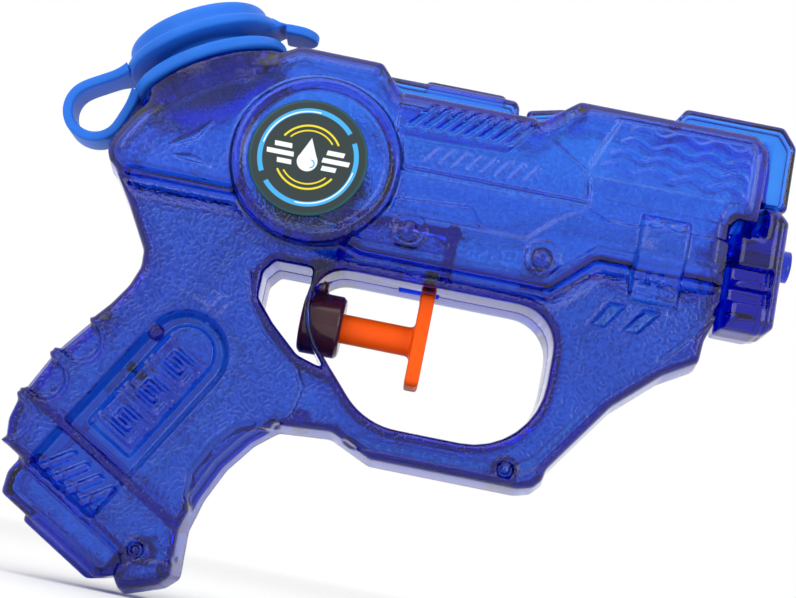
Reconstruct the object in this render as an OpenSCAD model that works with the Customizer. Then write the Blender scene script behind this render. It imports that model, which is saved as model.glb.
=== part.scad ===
// Toy water pistol: two see-through half casings round a small hand pump, with a filler cap on a strap.
// Millimetres. The origin is the jet outlet. +X is the way the water leaves, +Z is up, -Y is the right side.
// A value ending in _d is a distance back from the outlet, and one ending in _z a height over the jet axis.

/* [Casing] */
// Wall thickness of the half casings
wall = 1.8; // [1.4:0.1:2]
// Half width over the flat upper panels
upper_half = 12.6; // [12.2:0.1:13.2]
// Half width over the grip and the guard
frame_half = 10.8; // [10.4:0.1:11.4]
// Bevel round the upper panels
upper_bevel = 2.4; // [1.8:0.1:2.6]
// Bevel round the grip and the guard
frame_bevel = 1.5; // [1:0.1:1.8]
// Half width of the top rail and the front fin
fin_half = 4; // [3:0.25:5]
// Gap on the seam between the halves
seam_gap = 0.06; // [0.04:0.01:0.1]
// Thickness of the ribs inside
rib_t = 1.6; // [1.2:0.1:2]

/* [Upper body] */
// Rear end of the body, behind the neck's centre
tail_back = 15.8; // [14:0.2:18]
// Height of the rear end
tail_z = -6.5; // [-8:0.25:-5]
// Lower edge of the rear panel
seat_z = -11; // [-13:0.25:-10]
// Break between the rear end and the filler slope, behind the neck's centre
shoulder_back = 10.6; // [10:0.2:12.8]
// Height of that break
shoulder_z = 3.2; // [2:0.2:4]
// Top of the rear deck and of the front block
deck_z = 25; // [24:0.25:26]
// Front end of the rear deck
step_d = 91.8; // [90:0.2:94]
// Rear end of the slide
slide_rear_d = 86.6; // [85:0.2:88]
// Front end of the slide
slide_front_d = 57.7; // [56:0.2:60]
// Top of the slide
slide_z = 19.1; // [18:0.2:20]
// Rear end of the front block's top
front_top_d = 50.4; // [48:0.2:52]
// Front end of the body
front_d = 8.6; // [8:0.2:9.6]
// Chamfer of the front top corner
front_chamfer = 3.5; // [2:0.25:5]
// Lower edge of the front panel
trim_z = -10; // [-11:0.25:-9]
// Break where that edge turns down
trim_break_d = 40.3; // [39:0.2:42]
// Lower edge of the panel over the trigger
trim_low_z = -18; // [-18.6:0.1:-17]
// Front end of that lower edge
trim_low_d = 49; // [47:0.2:51]
// Rear end of that lower edge
trim_end_d = 89; // [87:0.2:91]
// Top of the rail on the slide
rail_z = 23.8; // [22.6:0.2:24.6]
// Front end of the rail
rail_front_d = 62; // [60:0.5:66]
// Top of the front fin
fin_z = 29.4; // [28.4:0.2:30.4]
// Rear end of the front fin
fin_rear_d = 31; // [28:0.5:34]
// Front end of the front fin
fin_front_d = 2.5; // [2:0.1:4]
// Lower end of the front fin
fin_low_z = 11; // [10.6:0.1:13]
// Run of the fin's slanted corners
fin_slope = 4; // [2:0.25:5]

/* [Slide relief] */
// Number of slanted slots in the slide
slot_count = 6; // [4:1:7]
// Spacing of the slots
slot_pitch = 3.6; // [3.2:0.1:3.8]
// Width of a slot
slot_w = 1.4; // [1:0.1:1.8]
// Depth of a slot
slot_depth = 0.7; // [0.4:0.1:0.9]
// Lower end of the slots
slot_low_z = 11; // [10.5:0.1:12]
// Upper end of the slots
slot_top_z = 16; // [15:0.1:16.5]
// Lower end of the rearmost slot
slot_rear_d = 82.6; // [82:0.1:84]
// Lean of a slot over its height
slot_lean = 5; // [3:0.25:6]
// Height of the raised ledge's centre
ledge_z = 2.2; // [1.5:0.1:3]
// Height of the raised ledge
ledge_h = 1.6; // [1:0.1:2.2]
// Rear end of the raised ledge
ledge_rear_d = 83.5; // [83:0.1:83.7]
// Front end of the raised ledge
ledge_front_d = 45.2; // [43:0.2:48]
// Stand of the ledge and of the front clip off the panel
relief_h = 0.7; // [0.4:0.1:1]
// Rear edge of the front clip band
clip_rear_d = 33.4; // [32:0.2:35]
// Front edge of the front clip band
clip_front_d = 23.6; // [22:0.2:25]
// Top of the front clip band
clip_top_z = 2.2; // [1:0.2:3]

/* [Side disc] */
// Centre of the side discs
disc_d = 101.5; // [101:0.1:102]
// Height of their centre
disc_z = -0.2; // [-0.6:0.1:0.4]
// Radius of a side disc
disc_r = 17.6; // [17:0.1:18]
// Half width over the side discs
disc_half = 14.5; // [14:0.1:15]
// Width of the disc's rim
rim_w = 1.7; // [1.2:0.1:2.2]
// Depth of the disc's recess
recess_h = 1.3; // [0.8:0.1:1.4]
// Radius of a badge
badge_r = 12.3; // [11:0.1:13]
// Thickness of a badge
badge_t = 0.5; // [0.3:0.1:0.8]
// Shift of a badge to the rear of the disc's centre
badge_shift = 1.6; // [0:0.1:2]

/* [Trigger opening and guard] */
// Rear end of the trigger opening
open_rear_d = 96.6; // [96.2:0.1:97]
// Front end of the trigger opening
open_front_d = 46.4; // [45:0.2:48]
// Top of the trigger opening
open_top_z = -20.9; // [-21.3:0.1:-20.7]
// Bottom of the trigger opening
open_low_z = -51; // [-52:0.2:-50]
// Radius of its upper rear corner
open_rear_r = 6.5; // [5:0.25:7]
// Radius of the ends of its slanted lower rear corner
open_heel_r = 15; // [12:0.5:17]
// Height of the slanted lower rear corner
open_heel_h = 17; // [15.5:0.25:18]
// Length of the slanted lower rear corner
open_heel_w = 15.5; // [14:0.25:17]
// Radius of its lower front corner
open_front_r = 15; // [12:0.25:16]
// Radius of its upper front corner
open_top_r = 8.5; // [7:0.25:10]
// Wall between the trigger opening and the crescent gap behind it
loop_wall = 1.2; // [1:0.1:1.4]
// Rear end of the crescent gap
gap_rear_d = 107.4; // [107:0.1:108]
// Top of the crescent gap
gap_top_z = -21.9; // [-22.5:0.1:-21.5]
// Lower tip of the crescent gap
gap_low_z = -40; // [-41:0.2:-39]
// Rear end of the rear vent in the frame
vent_d = 41; // [40:0.25:42]
// Spacing of the two vents
vent_pitch = 7; // [6.5:0.25:7.5]
// Lower edge of the vents
vent_z = -22.7; // [-23:0.1:-22]
// Lower edge of the guard
guard_z = -58.7; // [-59.5:0.1:-58.3]
// Rear end of the guard's level lower edge
guard_rear_d = 78.8; // [77:0.2:80]
// Lower front corner of the body
chin_d = 15.6; // [15.2:0.1:17]
// Height of that corner
chin_z = -26; // [-27:0.25:-25]

/* [Grip] */
// Reference point of the grip, behind the outlet
grip_d = 120; // [119:0.25:121]
// Height of that point
grip_z = -43.5; // [-44.5:0.25:-42.5]
// Lean of the grip
grip_tilt = 30; // [28:0.5:32]
// Reach of the grip's back from that point
grip_back = 20.6; // [20:0.2:22]
// Reach of the grip's front from that point
grip_front = 23; // [22:0.2:24]
// Length of the grip below that point
grip_len = 38.3; // [37:0.25:40]
// Length down to the foot block
foot_len = 45.2; // [44:0.2:47]
// Half width of the foot block
foot_half = 9; // [8:0.25:9.2]
// Length down to the foot plate
plate_len = 46.7; // [46:0.1:48]
// Half width of the foot plate
foot_plate_half = 6; // [5:0.25:7]
// Half width of the raised panel along the grip
pad_r = 8.9; // [7:0.1:10]
// Stand of that panel
pad_h = 0.8; // [0.4:0.1:1.2]
// Groove between the panel and the grip
pad_groove = 1.1; // [0.8:0.1:1.6]
// Radius of the scallops in the grip's back
scallop_r = 10; // [8:0.5:12]
// Depth of the scallops
scallop_h = 0.9; // [0.6:0.1:1]
// Place of the rib across the grip
bulkhead = 27; // [25:0.5:29]

/* [Filler neck and cap] */
// Centre of the ring's top face
neck_d = 129.2; // [128.6:0.1:129.8]
// Height of that centre
neck_z = 18.2; // [17.6:0.1:18.8]
// Lean of the neck
neck_tilt = 30; // [29:0.5:31]
// Radius of the filler mouth
mouth_r = 10.6; // [10:0.1:11.4]
// Wall of the filler neck
neck_wall = 2.2; // [2:0.1:2.6]
// Length of the filler neck
neck_len = 8; // [7:0.25:8.5]
// Radius of the ring on the neck and of the cap's flange
ring_r = 17.1; // [16.7:0.1:17.6]
// Height of the ring
ring_h = 2.5; // [2:0.1:3]
// Gap from the ring to the cap's flange, as the cap is left
cap_gap = 3.1; // [3:0.1:3.6]
// Height of the cap's flange
flange_h = 2.4; // [1.8:0.1:3]
// Radius of the cap
cap_r = 15.2; // [14.4:0.1:16]
// Height of the cap over its flange
cap_h = 3.6; // [3:0.2:4.2]
// Wall of the cap
cap_wall = 2; // [1.6:0.1:2.4]
// Depth of the plug under the flange
plug_h = 8.6; // [7.5:0.2:9]
// Width of the strap
strap_w = 8; // [6:0.5:10]
// Thickness of the strap
strap_t = 2.2; // [1.6:0.1:2.4]
// Radius of the strap's loop, at its middle
loop_r = 6; // [5.6:0.1:6.4]
// Distance of the loop's centre behind the ring
loop_back = 8.6; // [8.2:0.1:9]
// Length of the pull tab
tab_len = 8.4; // [6:0.2:9]
// Width of the pull tab
tab_w = 9; // [7:0.5:11]
// Thickness of the pull tab
tab_t = 2.2; // [1.8:0.1:2.4]

/* [Pump and trigger] */
// Height of the pump's axis
pump_z = -31.5; // [-32:0.1:-31]
// Radius of the pump barrel
barrel_r = 6.6; // [6.4:0.1:6.9]
// Front end of the pump barrel
barrel_front_d = 89.8; // [89.4:0.1:90.2]
// Rear end of the pump barrel
barrel_rear_d = 98.4; // [98.2:0.1:98.8]
// Thickness of the barrel's closed end
barrel_end = 1; // [0.8:0.1:1.1]
// Radius of the pump chamber
chamber_r = 5; // [4.8:0.05:5.2]
// Thickness of the gland
gland_t = 1.2; // [1:0.1:1.3]
// Radius of the trigger's rod
rod_r = 3.1; // [2.9:0.05:3.3]
// Thickness of the piston
piston_t = 1.3; // [1.2:0.1:1.4]
// Travel of the trigger
stroke = 4.2; // [3.6:0.1:4.2]
// Centre of the push plate
plate_d = 73.4; // [72.6:0.1:74]
// Thickness of the push plate
plate_t = 3; // [2.6:0.1:3.4]
// Width of the push plate
plate_w = 11; // [9:0.5:13]
// Lower end of the push plate
plate_low_z = -41.2; // [-42.4:0.2:-40]
// Width of the plate's guide tongue
tongue_w = 4; // [3:0.2:5]
// Upper end of the guide tongue
tongue_z = -15.4; // [-16.4:0.1:-14.6]
// Hollow in the face of the push plate
plate_dish = 0.6; // [0.3:0.1:0.9]
// Wire radius of the return spring
wire_r = 0.22; // [0.2:0.01:0.25]
// Turns of the return spring
spring_turns = 3; // [2:1:3]

/* [Valves and hoses] */
// Rear face of the valve block
valve_rear_d = 106; // [105.6:0.1:106.4]
// Front face of the valve block
valve_front_d = 94; // [93.8:0.1:94.2]
// Width of the valve block
valve_w = 9; // [8:0.5:10]
// Top of the valve block
valve_top_z = -2.4; // [-3:0.1:-2]
// Height of the inlet's axis
inlet_z = -14.6; // [-15:0.1:-14]
// Height of the outlet's axis
outlet_z = -5.6; // [-5.8:0.1:-5.2]
// Radius of the valve balls
ball_r = 1.8; // [1.6:0.05:1.9]
// Lift of a valve ball off its seat
ball_lift = 0.8; // [0.5:0.1:0.9]
// Outside radius of the hoses
hose_r = 2.3; // [2.1:0.05:2.4]
// Bore radius of the hoses
hose_bore = 1.5; // [1.4:0.05:1.6]
// Bend radius of the outlet hose
outlet_bend = 20; // [16:1:26]
// Bend radius of the suction hose
suction_bend = 7; // [6:0.25:8]
// Straight lead of the suction hose behind the valve block
suction_lead = 3.4; // [3.2:0.1:4]
// Straight length of the suction hose in the grip
suction_len = 34; // [30:0.5:36]
// Length of the strainer
strainer_len = 6; // [5:0.5:7]

/* [Muzzle] */
// Rear face of the muzzle block
block_rear_d = 13.5; // [13:0.1:14]
// Front face of the muzzle block
block_front_d = 2; // [1.6:0.1:2.4]
// Half width of the muzzle block
block_half = 8.6; // [8:0.1:9.2]
// Shoulder of the muzzle block, under the front panel
block_shoulder_z = 4.4; // [4:0.1:5]
// Top of the muzzle block
block_top_z = 10.4; // [9.6:0.1:10.5]
// Bottom of the muzzle block
block_low_z = -17.4; // [-18:0.1:-17]
// Chamfer of the muzzle block
block_chamfer = 2.4; // [1.8:0.1:2.8]
// Lower edge of the upper slot in the muzzle block
block_slot_z = -6.6; // [-7.2:0.1:-6]
// Land between the slots
block_slot_land = 1.5; // [1.2:0.1:1.8]
// Height of a slot in the muzzle block
block_slot_h = 3; // [2.4:0.1:3.2]
// Depth of a slot in the muzzle block
block_slot = 2.4; // [1.6:0.1:3]
// Radius of the jet insert
jet_r = 2.5; // [2.3:0.1:2.8]
// Radius of the passage in the jet insert
jet_passage = 1.5; // [1.3:0.05:1.6]
// Radius of the jet's outlet
jet_bore = 0.6; // [0.5:0.05:0.7]
// Length of the jet's outlet
jet_land = 3; // [2:0.25:4]

/* [Pins] */
// Radius of a locating pin
pin_r = 1.5; // [1.3:0.05:1.6]
// Wall of a pin's socket
socket_wall = 1; // [0.8:0.1:1.1]
// Reach of a pin into its socket
pin_reach = 4; // [3:0.25:5]

/* [Fits] */
// Radial clearance of pieces that slide or push together
fit = 0.05; // [0.03:0.01:0.08]
// Clearance of pieces that stand clear of each other
clear = 0.3; // [0.25:0.05:0.35]

/* [Hidden] */
$fn = 48;
tiny = 0.01;
past = 1;

// Colours of the pieces
shell_blue = [0.16, 0.3, 0.85, 0.55];
cap_blue = [0.13, 0.36, 0.76];
hose_clear = [0.85, 0.9, 0.95, 0.6];
trigger_orange = [0.94, 0.37, 0.06];
charcoal = [0.18, 0.23, 0.24];

// Rear end of the body, placed from the neck
tail_d = neck_d + tail_back;
shoulder_d = neck_d + shoulder_back;
tail_cut = 3.5;

// Rounding of the outlines' corners
upper_soft = 0.7;
frame_soft = 1.1;

// Draft of the side disc's rim
rim_draft = 0.3;

// Filler slope: the flat that the neck's boss stands on
boss_show = 1;
slope_drop = ring_h + boss_show;
slope_rear = 7;
slope_front = 20;
boss_r = ring_r - 0.8;
boss_deep = 18;
boss_deep_r = upper_half - upper_bevel;
funnel_h = 12;
neck_outer = mouth_r + neck_wall;
neck_lip = 0.4;

// Pump places derived from its sizes
chamber_rear_d = barrel_rear_d - barrel_end;
gland_rear_d = barrel_front_d + gland_t;
piston_front_d = gland_rear_d + 2 * fit;
piston_rear_d = piston_front_d + piston_t;
piston_r = 3.6;
stub_d = barrel_front_d + 6.4;
stub_r = 2;
stub_reach = 2;
port_r = 1;

// Dry box that the guide tongue slides in, walled off from the tank
box_front_d = plate_d - plate_t / 2 - clear - rib_t / 2;
box_rear_d = valve_front_d - clear - rib_t / 2;
box_top_z = valve_top_z - 7.2;
ceiling_z = open_top_z + wall;

// Valve places derived from their sizes
valve_low_z = ceiling_z + fit;
valve_bore = ball_r + 0.3;
cross_z = valve_low_z + stub_reach + port_r + 0.2;
plug_len = 2.2;
barb_len = suction_lead - 0.2;
barb_r = hose_bore - fit;
barb_bore = 0.9;
inlet_seat_d = valve_rear_d - plug_len;
inlet_hold = sqrt(pow(ball_r, 2) - pow(barb_bore, 2)) + fit;
outlet_hold = sqrt(pow(ball_r, 2) - pow(port_r, 2)) + fit;
outlet_seat_d = valve_front_d + plug_len + ball_lift + inlet_hold + outlet_hold;
riser_d = outlet_seat_d + port_r + 0.5;
hose_start_d = valve_front_d - clear;
jet_rear_d = block_rear_d + 6;
hose_end_d = block_rear_d + wall + clear;

// Locating pins: distance back and height of each
pins = [[79.9, -10.9], [52.2, -11], [51.6, -54.6], [119, -84.6]];

function slope_at(t, drop = slope_drop) = [
    -neck_d + t * cos(neck_tilt) + drop * sin(neck_tilt),
    neck_z + t * sin(neck_tilt) - drop * cos(neck_tilt)
];

// Upper panel, clockwise from the lower rear corner
upper_pts = [
    [-tail_d + tail_cut, seat_z], [-tail_d, tail_z], [-shoulder_d, shoulder_z],
    slope_at(-slope_rear), slope_at(slope_front), [-step_d, deck_z],
    [-slide_rear_d, slide_z], [-slide_front_d, slide_z], [-front_top_d, deck_z],
    [-front_d - front_chamfer, deck_z], [-front_d, deck_z - front_chamfer],
    [-front_d, block_shoulder_z + fit], [-block_rear_d - fit, block_shoulder_z + fit],
    [-block_rear_d - fit, trim_z], [-trim_break_d, trim_z], [-trim_low_d, trim_low_z],
    [-trim_end_d, trim_low_z], [-disc_d - disc_r / 2, seat_z]
];

// Grip's outline in its own leaning frame, forward and up: down its front, along its foot and up its back
grip_pts = [
    [grip_front + 2, 0.4], [grip_front, -5], [grip_front - 0.9, -12.4], [grip_front - 0.2, -20],
    [grip_front + 1.6, -26.6], [grip_front + 6.8, -34.8], [grip_front + 5.8, -38.2],
    [grip_front + 0.2, -foot_len + 0.5], [grip_front - 3.4, -foot_len + 2.2],
    [18, -grip_len - 1], [-9.4, -grip_len - 1], [-9.4, -grip_len],
    [-grip_back + 5.6, -grip_len], [-grip_back + 2.4, -34], [-grip_back + 0.8, -28.8], [-grip_back, -18],
    [-grip_back + 1, -9.7], [-grip_back + 2.2, -2.5]
];

function from_grip(p) = [
    -grip_d + p[0] * cos(grip_tilt) + p[1] * sin(grip_tilt),
    grip_z - p[0] * sin(grip_tilt) + p[1] * cos(grip_tilt)
];

// Frame under the panel, clockwise: down the front, round the guard and the grip, up the back
frame_pts = concat(
    [
        [-block_rear_d - fit, 0], [-block_rear_d - fit, block_low_z + block_chamfer], [-chin_d, chin_z + 5],
        [-chin_d - 0.4, chin_z],
        [-chin_d - 7.5, chin_z - 4.2], [-chin_d - 16.5, chin_z - 12.4], [-open_front_d + 2.4, guard_z + 4.4],
        [-open_front_d - 2, guard_z], [-guard_rear_d, guard_z], [-guard_rear_d - 8.6, guard_z + 3.9]
    ],
    [for (q = grip_pts) from_grip(q)],
    [
        [-grip_d - 14.6, grip_z + 11.1], [-grip_d - 13.2, grip_z + 15.1], [-grip_d - 13.4, grip_z + 18.3],
        [-tail_d + 6.6, seat_z - 5.6], [-tail_d + 3.8, seat_z - 1.3], [-tail_d + 1.6, tail_z - 2.6],
        [-tail_d + 6, tail_z]
    ]
);

// Foot block and foot plate under the grip
foot_pts = [
    [-10, -grip_len + 2], [-10, -foot_len + 4], [-8, -foot_len],
    [17.4, -foot_len], [19.6, -foot_len + 2.2], [19.6, -30]
];
plate_pts = [[-2.8, -foot_len + 4], [-1.5, -plate_len], [16, -plate_len], [19, -plate_len + 2.7], [19, -32]];

// 2D outlines, drawn with +X forward and +Y up
module in_grip() {
    translate([-grip_d, grip_z]) rotate(-grip_tilt) children();
}

module soften(r) {
    offset(r = -r, $fn = 16) offset(r = 2 * r, $fn = 16) offset(r = -r, $fn = 16) children();
}

module upper_2d() {
    soften(upper_soft) polygon(upper_pts);
}

module frame_2d() {
    soften(frame_soft) polygon(frame_pts);
}

// Polygon whose corners [x, y, r] are rounded by arcs of their own radius
function turned(a) = a > 180 ? a - 360 : (a < -180 ? a + 360 : a);

function corner_arc(before, at, after, steps = 7) = let(
    q = [at[0], at[1]],
    a = unit([before[0], before[1]] - q),
    b = unit([after[0], after[1]] - q),
    half = acos(a * b) / 2,
    c = q + unit(a + b) * at[2] / sin(half),
    u = q + a * at[2] / tan(half) - c,
    v = q + b * at[2] / tan(half) - c,
    start = atan2(u[1], u[0]),
    sweep = turned(atan2(v[1], v[0]) - start)
) [for (i = [0 : steps]) c + at[2] * [cos(start + sweep * i / steps), sin(start + sweep * i / steps)]];

module rounded(pts) {
    n = len(pts);
    polygon([for (i = [0 : n - 1]) each corner_arc(pts[(i + n - 1) % n], pts[i], pts[(i + 1) % n])]);
}

module open_2d() {
    rounded([
        [-open_rear_d, open_top_z, open_rear_r], [-open_rear_d, open_low_z + open_heel_h, open_heel_r],
        [-open_rear_d + open_heel_w, open_low_z, open_heel_r], [-open_front_d, open_low_z, open_front_r],
        [-open_front_d, open_top_z, open_top_r]
    ]);
}

module gap_2d() {
    difference() {
        soften(1.2) polygon([
            [-gap_rear_d + 2, gap_top_z], [-gap_rear_d, gap_top_z - 2.6], [-gap_rear_d, gap_top_z - 8],
            [-gap_rear_d + 4, gap_top_z - 12.6], [-open_rear_d - 0.6, gap_low_z],
            [-open_rear_d + 6, gap_low_z - 2], [-open_rear_d + 6, gap_top_z]
        ]);
        offset(r = loop_wall, $fn = 32) open_2d();
        translate([-open_rear_d - 1, gap_top_z - 3]) square([12, 6]);
    }
}

module casing_2d() {
    difference() {
        union() {
            upper_2d();
            frame_2d();
        }
        open_2d();
        gap_2d();
    }
}

module rib_2d() {
    translate([-box_rear_d - rib_t / 2, box_top_z - rib_t / 2])
        square([box_rear_d - box_front_d + rib_t, rib_t]);
    for (d = [box_rear_d, box_front_d])
        translate([-d - rib_t / 2, ceiling_z - 1]) square([rib_t, box_top_z - ceiling_z + 1]);
    in_grip() translate([-40, -bulkhead - rib_t / 2]) square([80, rib_t]);
}

module slots_2d() {
    for (i = [0 : slot_count - 1])
        translate([-slot_rear_d + i * slot_pitch, 0]) polygon([
            [0, slot_low_z], [slot_lean, slot_top_z], [slot_lean + slot_w, slot_top_z], [slot_w, slot_low_z]
        ]);
}

module pad_2d() {
    circle(pad_r);
    translate([-pad_r, -grip_len + 6]) square([2 * pad_r, grip_len - 6]);
}

module vents_2d() {
    for (d = [vent_d, vent_d - vent_pitch])
        translate([-d, vent_z]) polygon([[0, 0], [3.7, 0], [8, 4.6], [4.6, 5.2]]);
}

module block_2d() {
    polygon([
        [-block_rear_d, block_low_z], [-block_rear_d, block_shoulder_z - upper_soft],
        [-block_rear_d + upper_soft, block_shoulder_z], [-front_d + fit, block_shoulder_z],
        [-front_d + fit, block_top_z], [-block_front_d - block_chamfer, block_top_z],
        [-block_front_d, block_top_z - block_chamfer], [-block_front_d, block_low_z + block_chamfer],
        [-block_front_d - block_chamfer, block_low_z]
    ]);
}

// Solids from outlines
module slab(y0, y1) {
    translate([0, y1, 0]) rotate([90, 0, 0]) linear_extrude(y1 - y0) children();
}

// Clockwise outline moved inwards by d, corner by corner
function inward(a, b) = unit([b[1] - a[1], a[0] - b[0]]);
function inset_pts(pts, d) = let(n = len(pts)) [for (i = [0 : n - 1]) let(
    u = inward(pts[(i + n - 1) % n], pts[i]),
    v = inward(pts[i], pts[(i + 1) % n])
) pts[i] + d * (u + v) / (1 + u * v)];

// Ring of triangular section that cuts a bevel round the face of a panel on the right side
module bevel_ring(pts, half, bevel) {
    n = len(pts);
    out = inset_pts(pts, -past);
    in = inset_pts(pts, bevel + past);
    low = half - bevel - past;
    points = concat(
        [for (q = out) [q[0], -low, q[1]]],
        [for (q = out) [q[0], -half - past, q[1]]],
        [for (q = in) [q[0], -half - past, q[1]]]
    );
    polyhedron(points, [for (i = [0 : n - 1], k = [0 : 2]) let(
        a = k * n + i,
        b = k * n + (i + 1) % n,
        c = (k + 1) % 3 * n + i,
        d = (k + 1) % 3 * n + (i + 1) % n
    ) each [[a, b, c], [b, d, c]]]);
}

module panel(pts, half, bevel) {
    difference() {
        slab(-half, 0) children();
        bevel_ring(pts, half, bevel);
    }
}

module along_x(d) {
    translate([-d, 0, 0]) rotate([0, 90, 0]) children();
}

module along_pipe(d, z) {
    translate([0, 0, z]) along_x(d) children();
}

module on_neck(s = 0) {
    translate([-neck_d, 0, neck_z]) rotate([0, -neck_tilt, 0]) translate([0, 0, s]) children();
}

module tube(r, bore, len) {
    difference() {
        cylinder(h = len, r = r);
        translate([0, 0, -past]) cylinder(h = len + 2 * past, r = bore);
    }
}

module on_disc() {
    translate([-disc_d, 0, disc_z]) rotate([90, 0, 0]) rotate_extrude() children();
}

module disc_boss() {
    on_disc() polygon([
        [0, 0], [disc_r, 0], [disc_r, upper_half - rim_draft], [disc_r - rim_w / 3, disc_half], [0, disc_half]
    ]);
}

// Seat of the badge inside the disc's rim
module disc_recess() {
    floor_y = disc_half - recess_h;
    on_disc() polygon([
        [0, floor_y], [disc_r - rim_w - rim_draft, floor_y], [disc_r - rim_w, disc_half],
        [disc_r - rim_w, disc_half + ring_r], [0, disc_half + ring_r]
    ]);
}

module neck_boss() {
    on_neck(-slope_drop + boss_show) rotate_extrude() polygon([
        [0, 0], [boss_r, 0], [boss_r, -neck_len + slope_drop], [boss_deep_r, -boss_deep], [0, -boss_deep]
    ]);
}

module grip_relief() {
    translate([0, -frame_half + tiny, 0]) rotate([90, 0, 0]) in_grip() linear_extrude(pad_h) pad_2d();
}

module grip_cuts() {
    translate([0, -frame_half - past, 0]) rotate([-90, 0, 0]) mirror([0, 1, 0]) in_grip()
        linear_extrude(past + pad_groove / 2) difference() {
            offset(r = pad_groove, $fn = 32) pad_2d();
            pad_2d();
            translate([-40, -grip_len - 40]) square([80, 46]);
        }
    for (i = [0 : 2])
        translate([0, -frame_half - scallop_r + scallop_h, 0]) rotate([90, 0, 0]) in_grip()
            translate([-grip_back + 5 + 0.9 * i, -6 - 11.4 * i, 0]) sphere(r = scallop_r, $fn = 28);
}

module right_side() {
    panel(upper_pts, upper_half, upper_bevel) upper_2d();
    panel(frame_pts, frame_half, frame_bevel) frame_2d();
    slab(-foot_half, 0) in_grip() polygon(foot_pts);
    slab(-foot_plate_half, 0) in_grip() polygon(plate_pts);
    slab(-fin_half, 0) polygon([
        [-fin_rear_d, deck_z - wall], [-fin_rear_d + fin_slope, fin_z],
        [-fin_front_d - fin_slope * 0.8, fin_z], [-fin_front_d, fin_z - fin_slope],
        [-fin_front_d, fin_low_z], [-front_d - wall, fin_low_z], [-front_d - wall, deck_z - wall]
    ]);
    slab(-fin_half, 0) polygon([
        [-step_d, slide_z - wall], [-step_d, rail_z], [-rail_front_d - 1, rail_z],
        [-rail_front_d, rail_z - 1.5], [-rail_front_d, slide_z - wall]
    ]);
    slab(-upper_half - relief_h, 0)
        translate([-ledge_rear_d, ledge_z - ledge_h / 2]) square([ledge_rear_d - ledge_front_d, ledge_h]);
    slab(-upper_half - relief_h, 0)
        translate([-clip_rear_d, trim_z + upper_bevel])
            square([clip_rear_d - clip_front_d, clip_top_z - trim_z - upper_bevel]);
    disc_boss();
    neck_boss();
    grip_relief();
}

module right_hollow() {
    difference() {
        union() {
            slab(-(frame_half - wall), past) offset(delta = -wall) casing_2d();
            slab(-(upper_half - wall), past) intersection() {
                offset(delta = -wall) casing_2d();
                offset(delta = -wall - 0.6) upper_2d();
            }
            slab(-(foot_half - wall), past) in_grip() offset(delta = -wall) polygon(foot_pts);
            slab(-(fin_half - wall), past) translate([-fin_rear_d + fin_slope, fin_low_z + wall])
                square([fin_rear_d - fin_slope - fin_front_d - wall, fin_z - fin_slope - fin_low_z]);
            on_neck(-neck_len - funnel_h)
                cylinder(h = funnel_h + tiny, r1 = boss_deep_r - wall, r2 = mouth_r);
        }
        slab(-upper_half, past + tiny) rib_2d();
    }
}

module right_cuts() {
    disc_recess();
    slab(-disc_half, past) open_2d();
    slab(-disc_half, past) gap_2d();
    translate([0, -upper_half - past, 0]) mirror([0, 1, 0]) slab(-past - slot_depth, 0) slots_2d();
    translate([0, -frame_half - past, 0]) mirror([0, 1, 0]) slab(-past - slot_depth, 0) vents_2d();
    on_neck(-neck_len - fit) cylinder(h = neck_len + ring_r, r = neck_outer + fit);
    along_x(barrel_rear_d + fit) translate([-pump_z, 0, 0])
        cylinder(h = barrel_rear_d - barrel_front_d + past, r = barrel_r + fit);
    translate([-stub_d, 0, pump_z]) cylinder(h = ceiling_z - pump_z + past, r = stub_r + fit);
    translate([-plate_d - plate_t / 2 - stroke - clear, -tongue_w / 2 - clear, open_top_z - 4])
        cube([plate_t + stroke + 2 * clear, tongue_w + 2 * clear, 4 + wall + past]);
    along_x(hose_end_d + past) cylinder(h = hose_end_d, r = jet_r + fit);
}

// Half casing: solid side, hollowed behind its walls, with ribs and the cut-outs
module half_casing() {
    difference() {
        right_side();
        right_hollow();
        grip_cuts();
        right_cuts();
        translate([-200, -seam_gap / 2, -150]) cube([250, 100, 250]);
    }
}

boss_of_pin = pin_r + fit + socket_wall;

function pin_half(p) = (p[1] > trim_low_z ? upper_half : frame_half) - wall / 2;

module at_pin(p) {
    translate([-p[0], 0, p[1]]) rotate([90, 0, 0]) children();
}

module right_shell() {
    color(shell_blue) union() {
        half_casing();
        for (p = pins) {
            at_pin(p) translate([0, 0, seam_gap / 2])
                cylinder(h = pin_half(p) - seam_gap / 2, r = boss_of_pin, $fn = 24);
            at_pin(p) translate([0, 0, -pin_reach]) cylinder(h = pin_reach + 1, r = pin_r, $fn = 24);
        }
    }
}

module left_shell() {
    color(shell_blue) mirror([0, 1, 0]) difference() {
        union() {
            half_casing();
            for (p = pins)
                at_pin(p) translate([0, 0, seam_gap / 2])
                    cylinder(h = pin_half(p) - seam_gap / 2, r = boss_of_pin, $fn = 24);
        }
        for (p = pins)
            at_pin(p) translate([0, 0, -past])
                cylinder(h = pin_reach + past + clear, r = pin_r + fit, $fn = 24);
    }
}

module muzzle_block() {
    color(shell_blue) difference() {
        slab(-block_half, block_half) block_2d();
        along_x(block_rear_d + past) cylinder(h = block_rear_d + 2 * past, r = jet_r + fit);
        for (side = [-1, 1], i = [0, 1]) {
            low_z = block_slot_z - i * (block_slot_h + block_slot_land);
            translate([-block_rear_d + past, side * block_half - block_slot, low_z])
                cube([block_rear_d - block_front_d - past - block_chamfer, 2 * block_slot, block_slot_h]);
        }
    }
}

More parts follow.
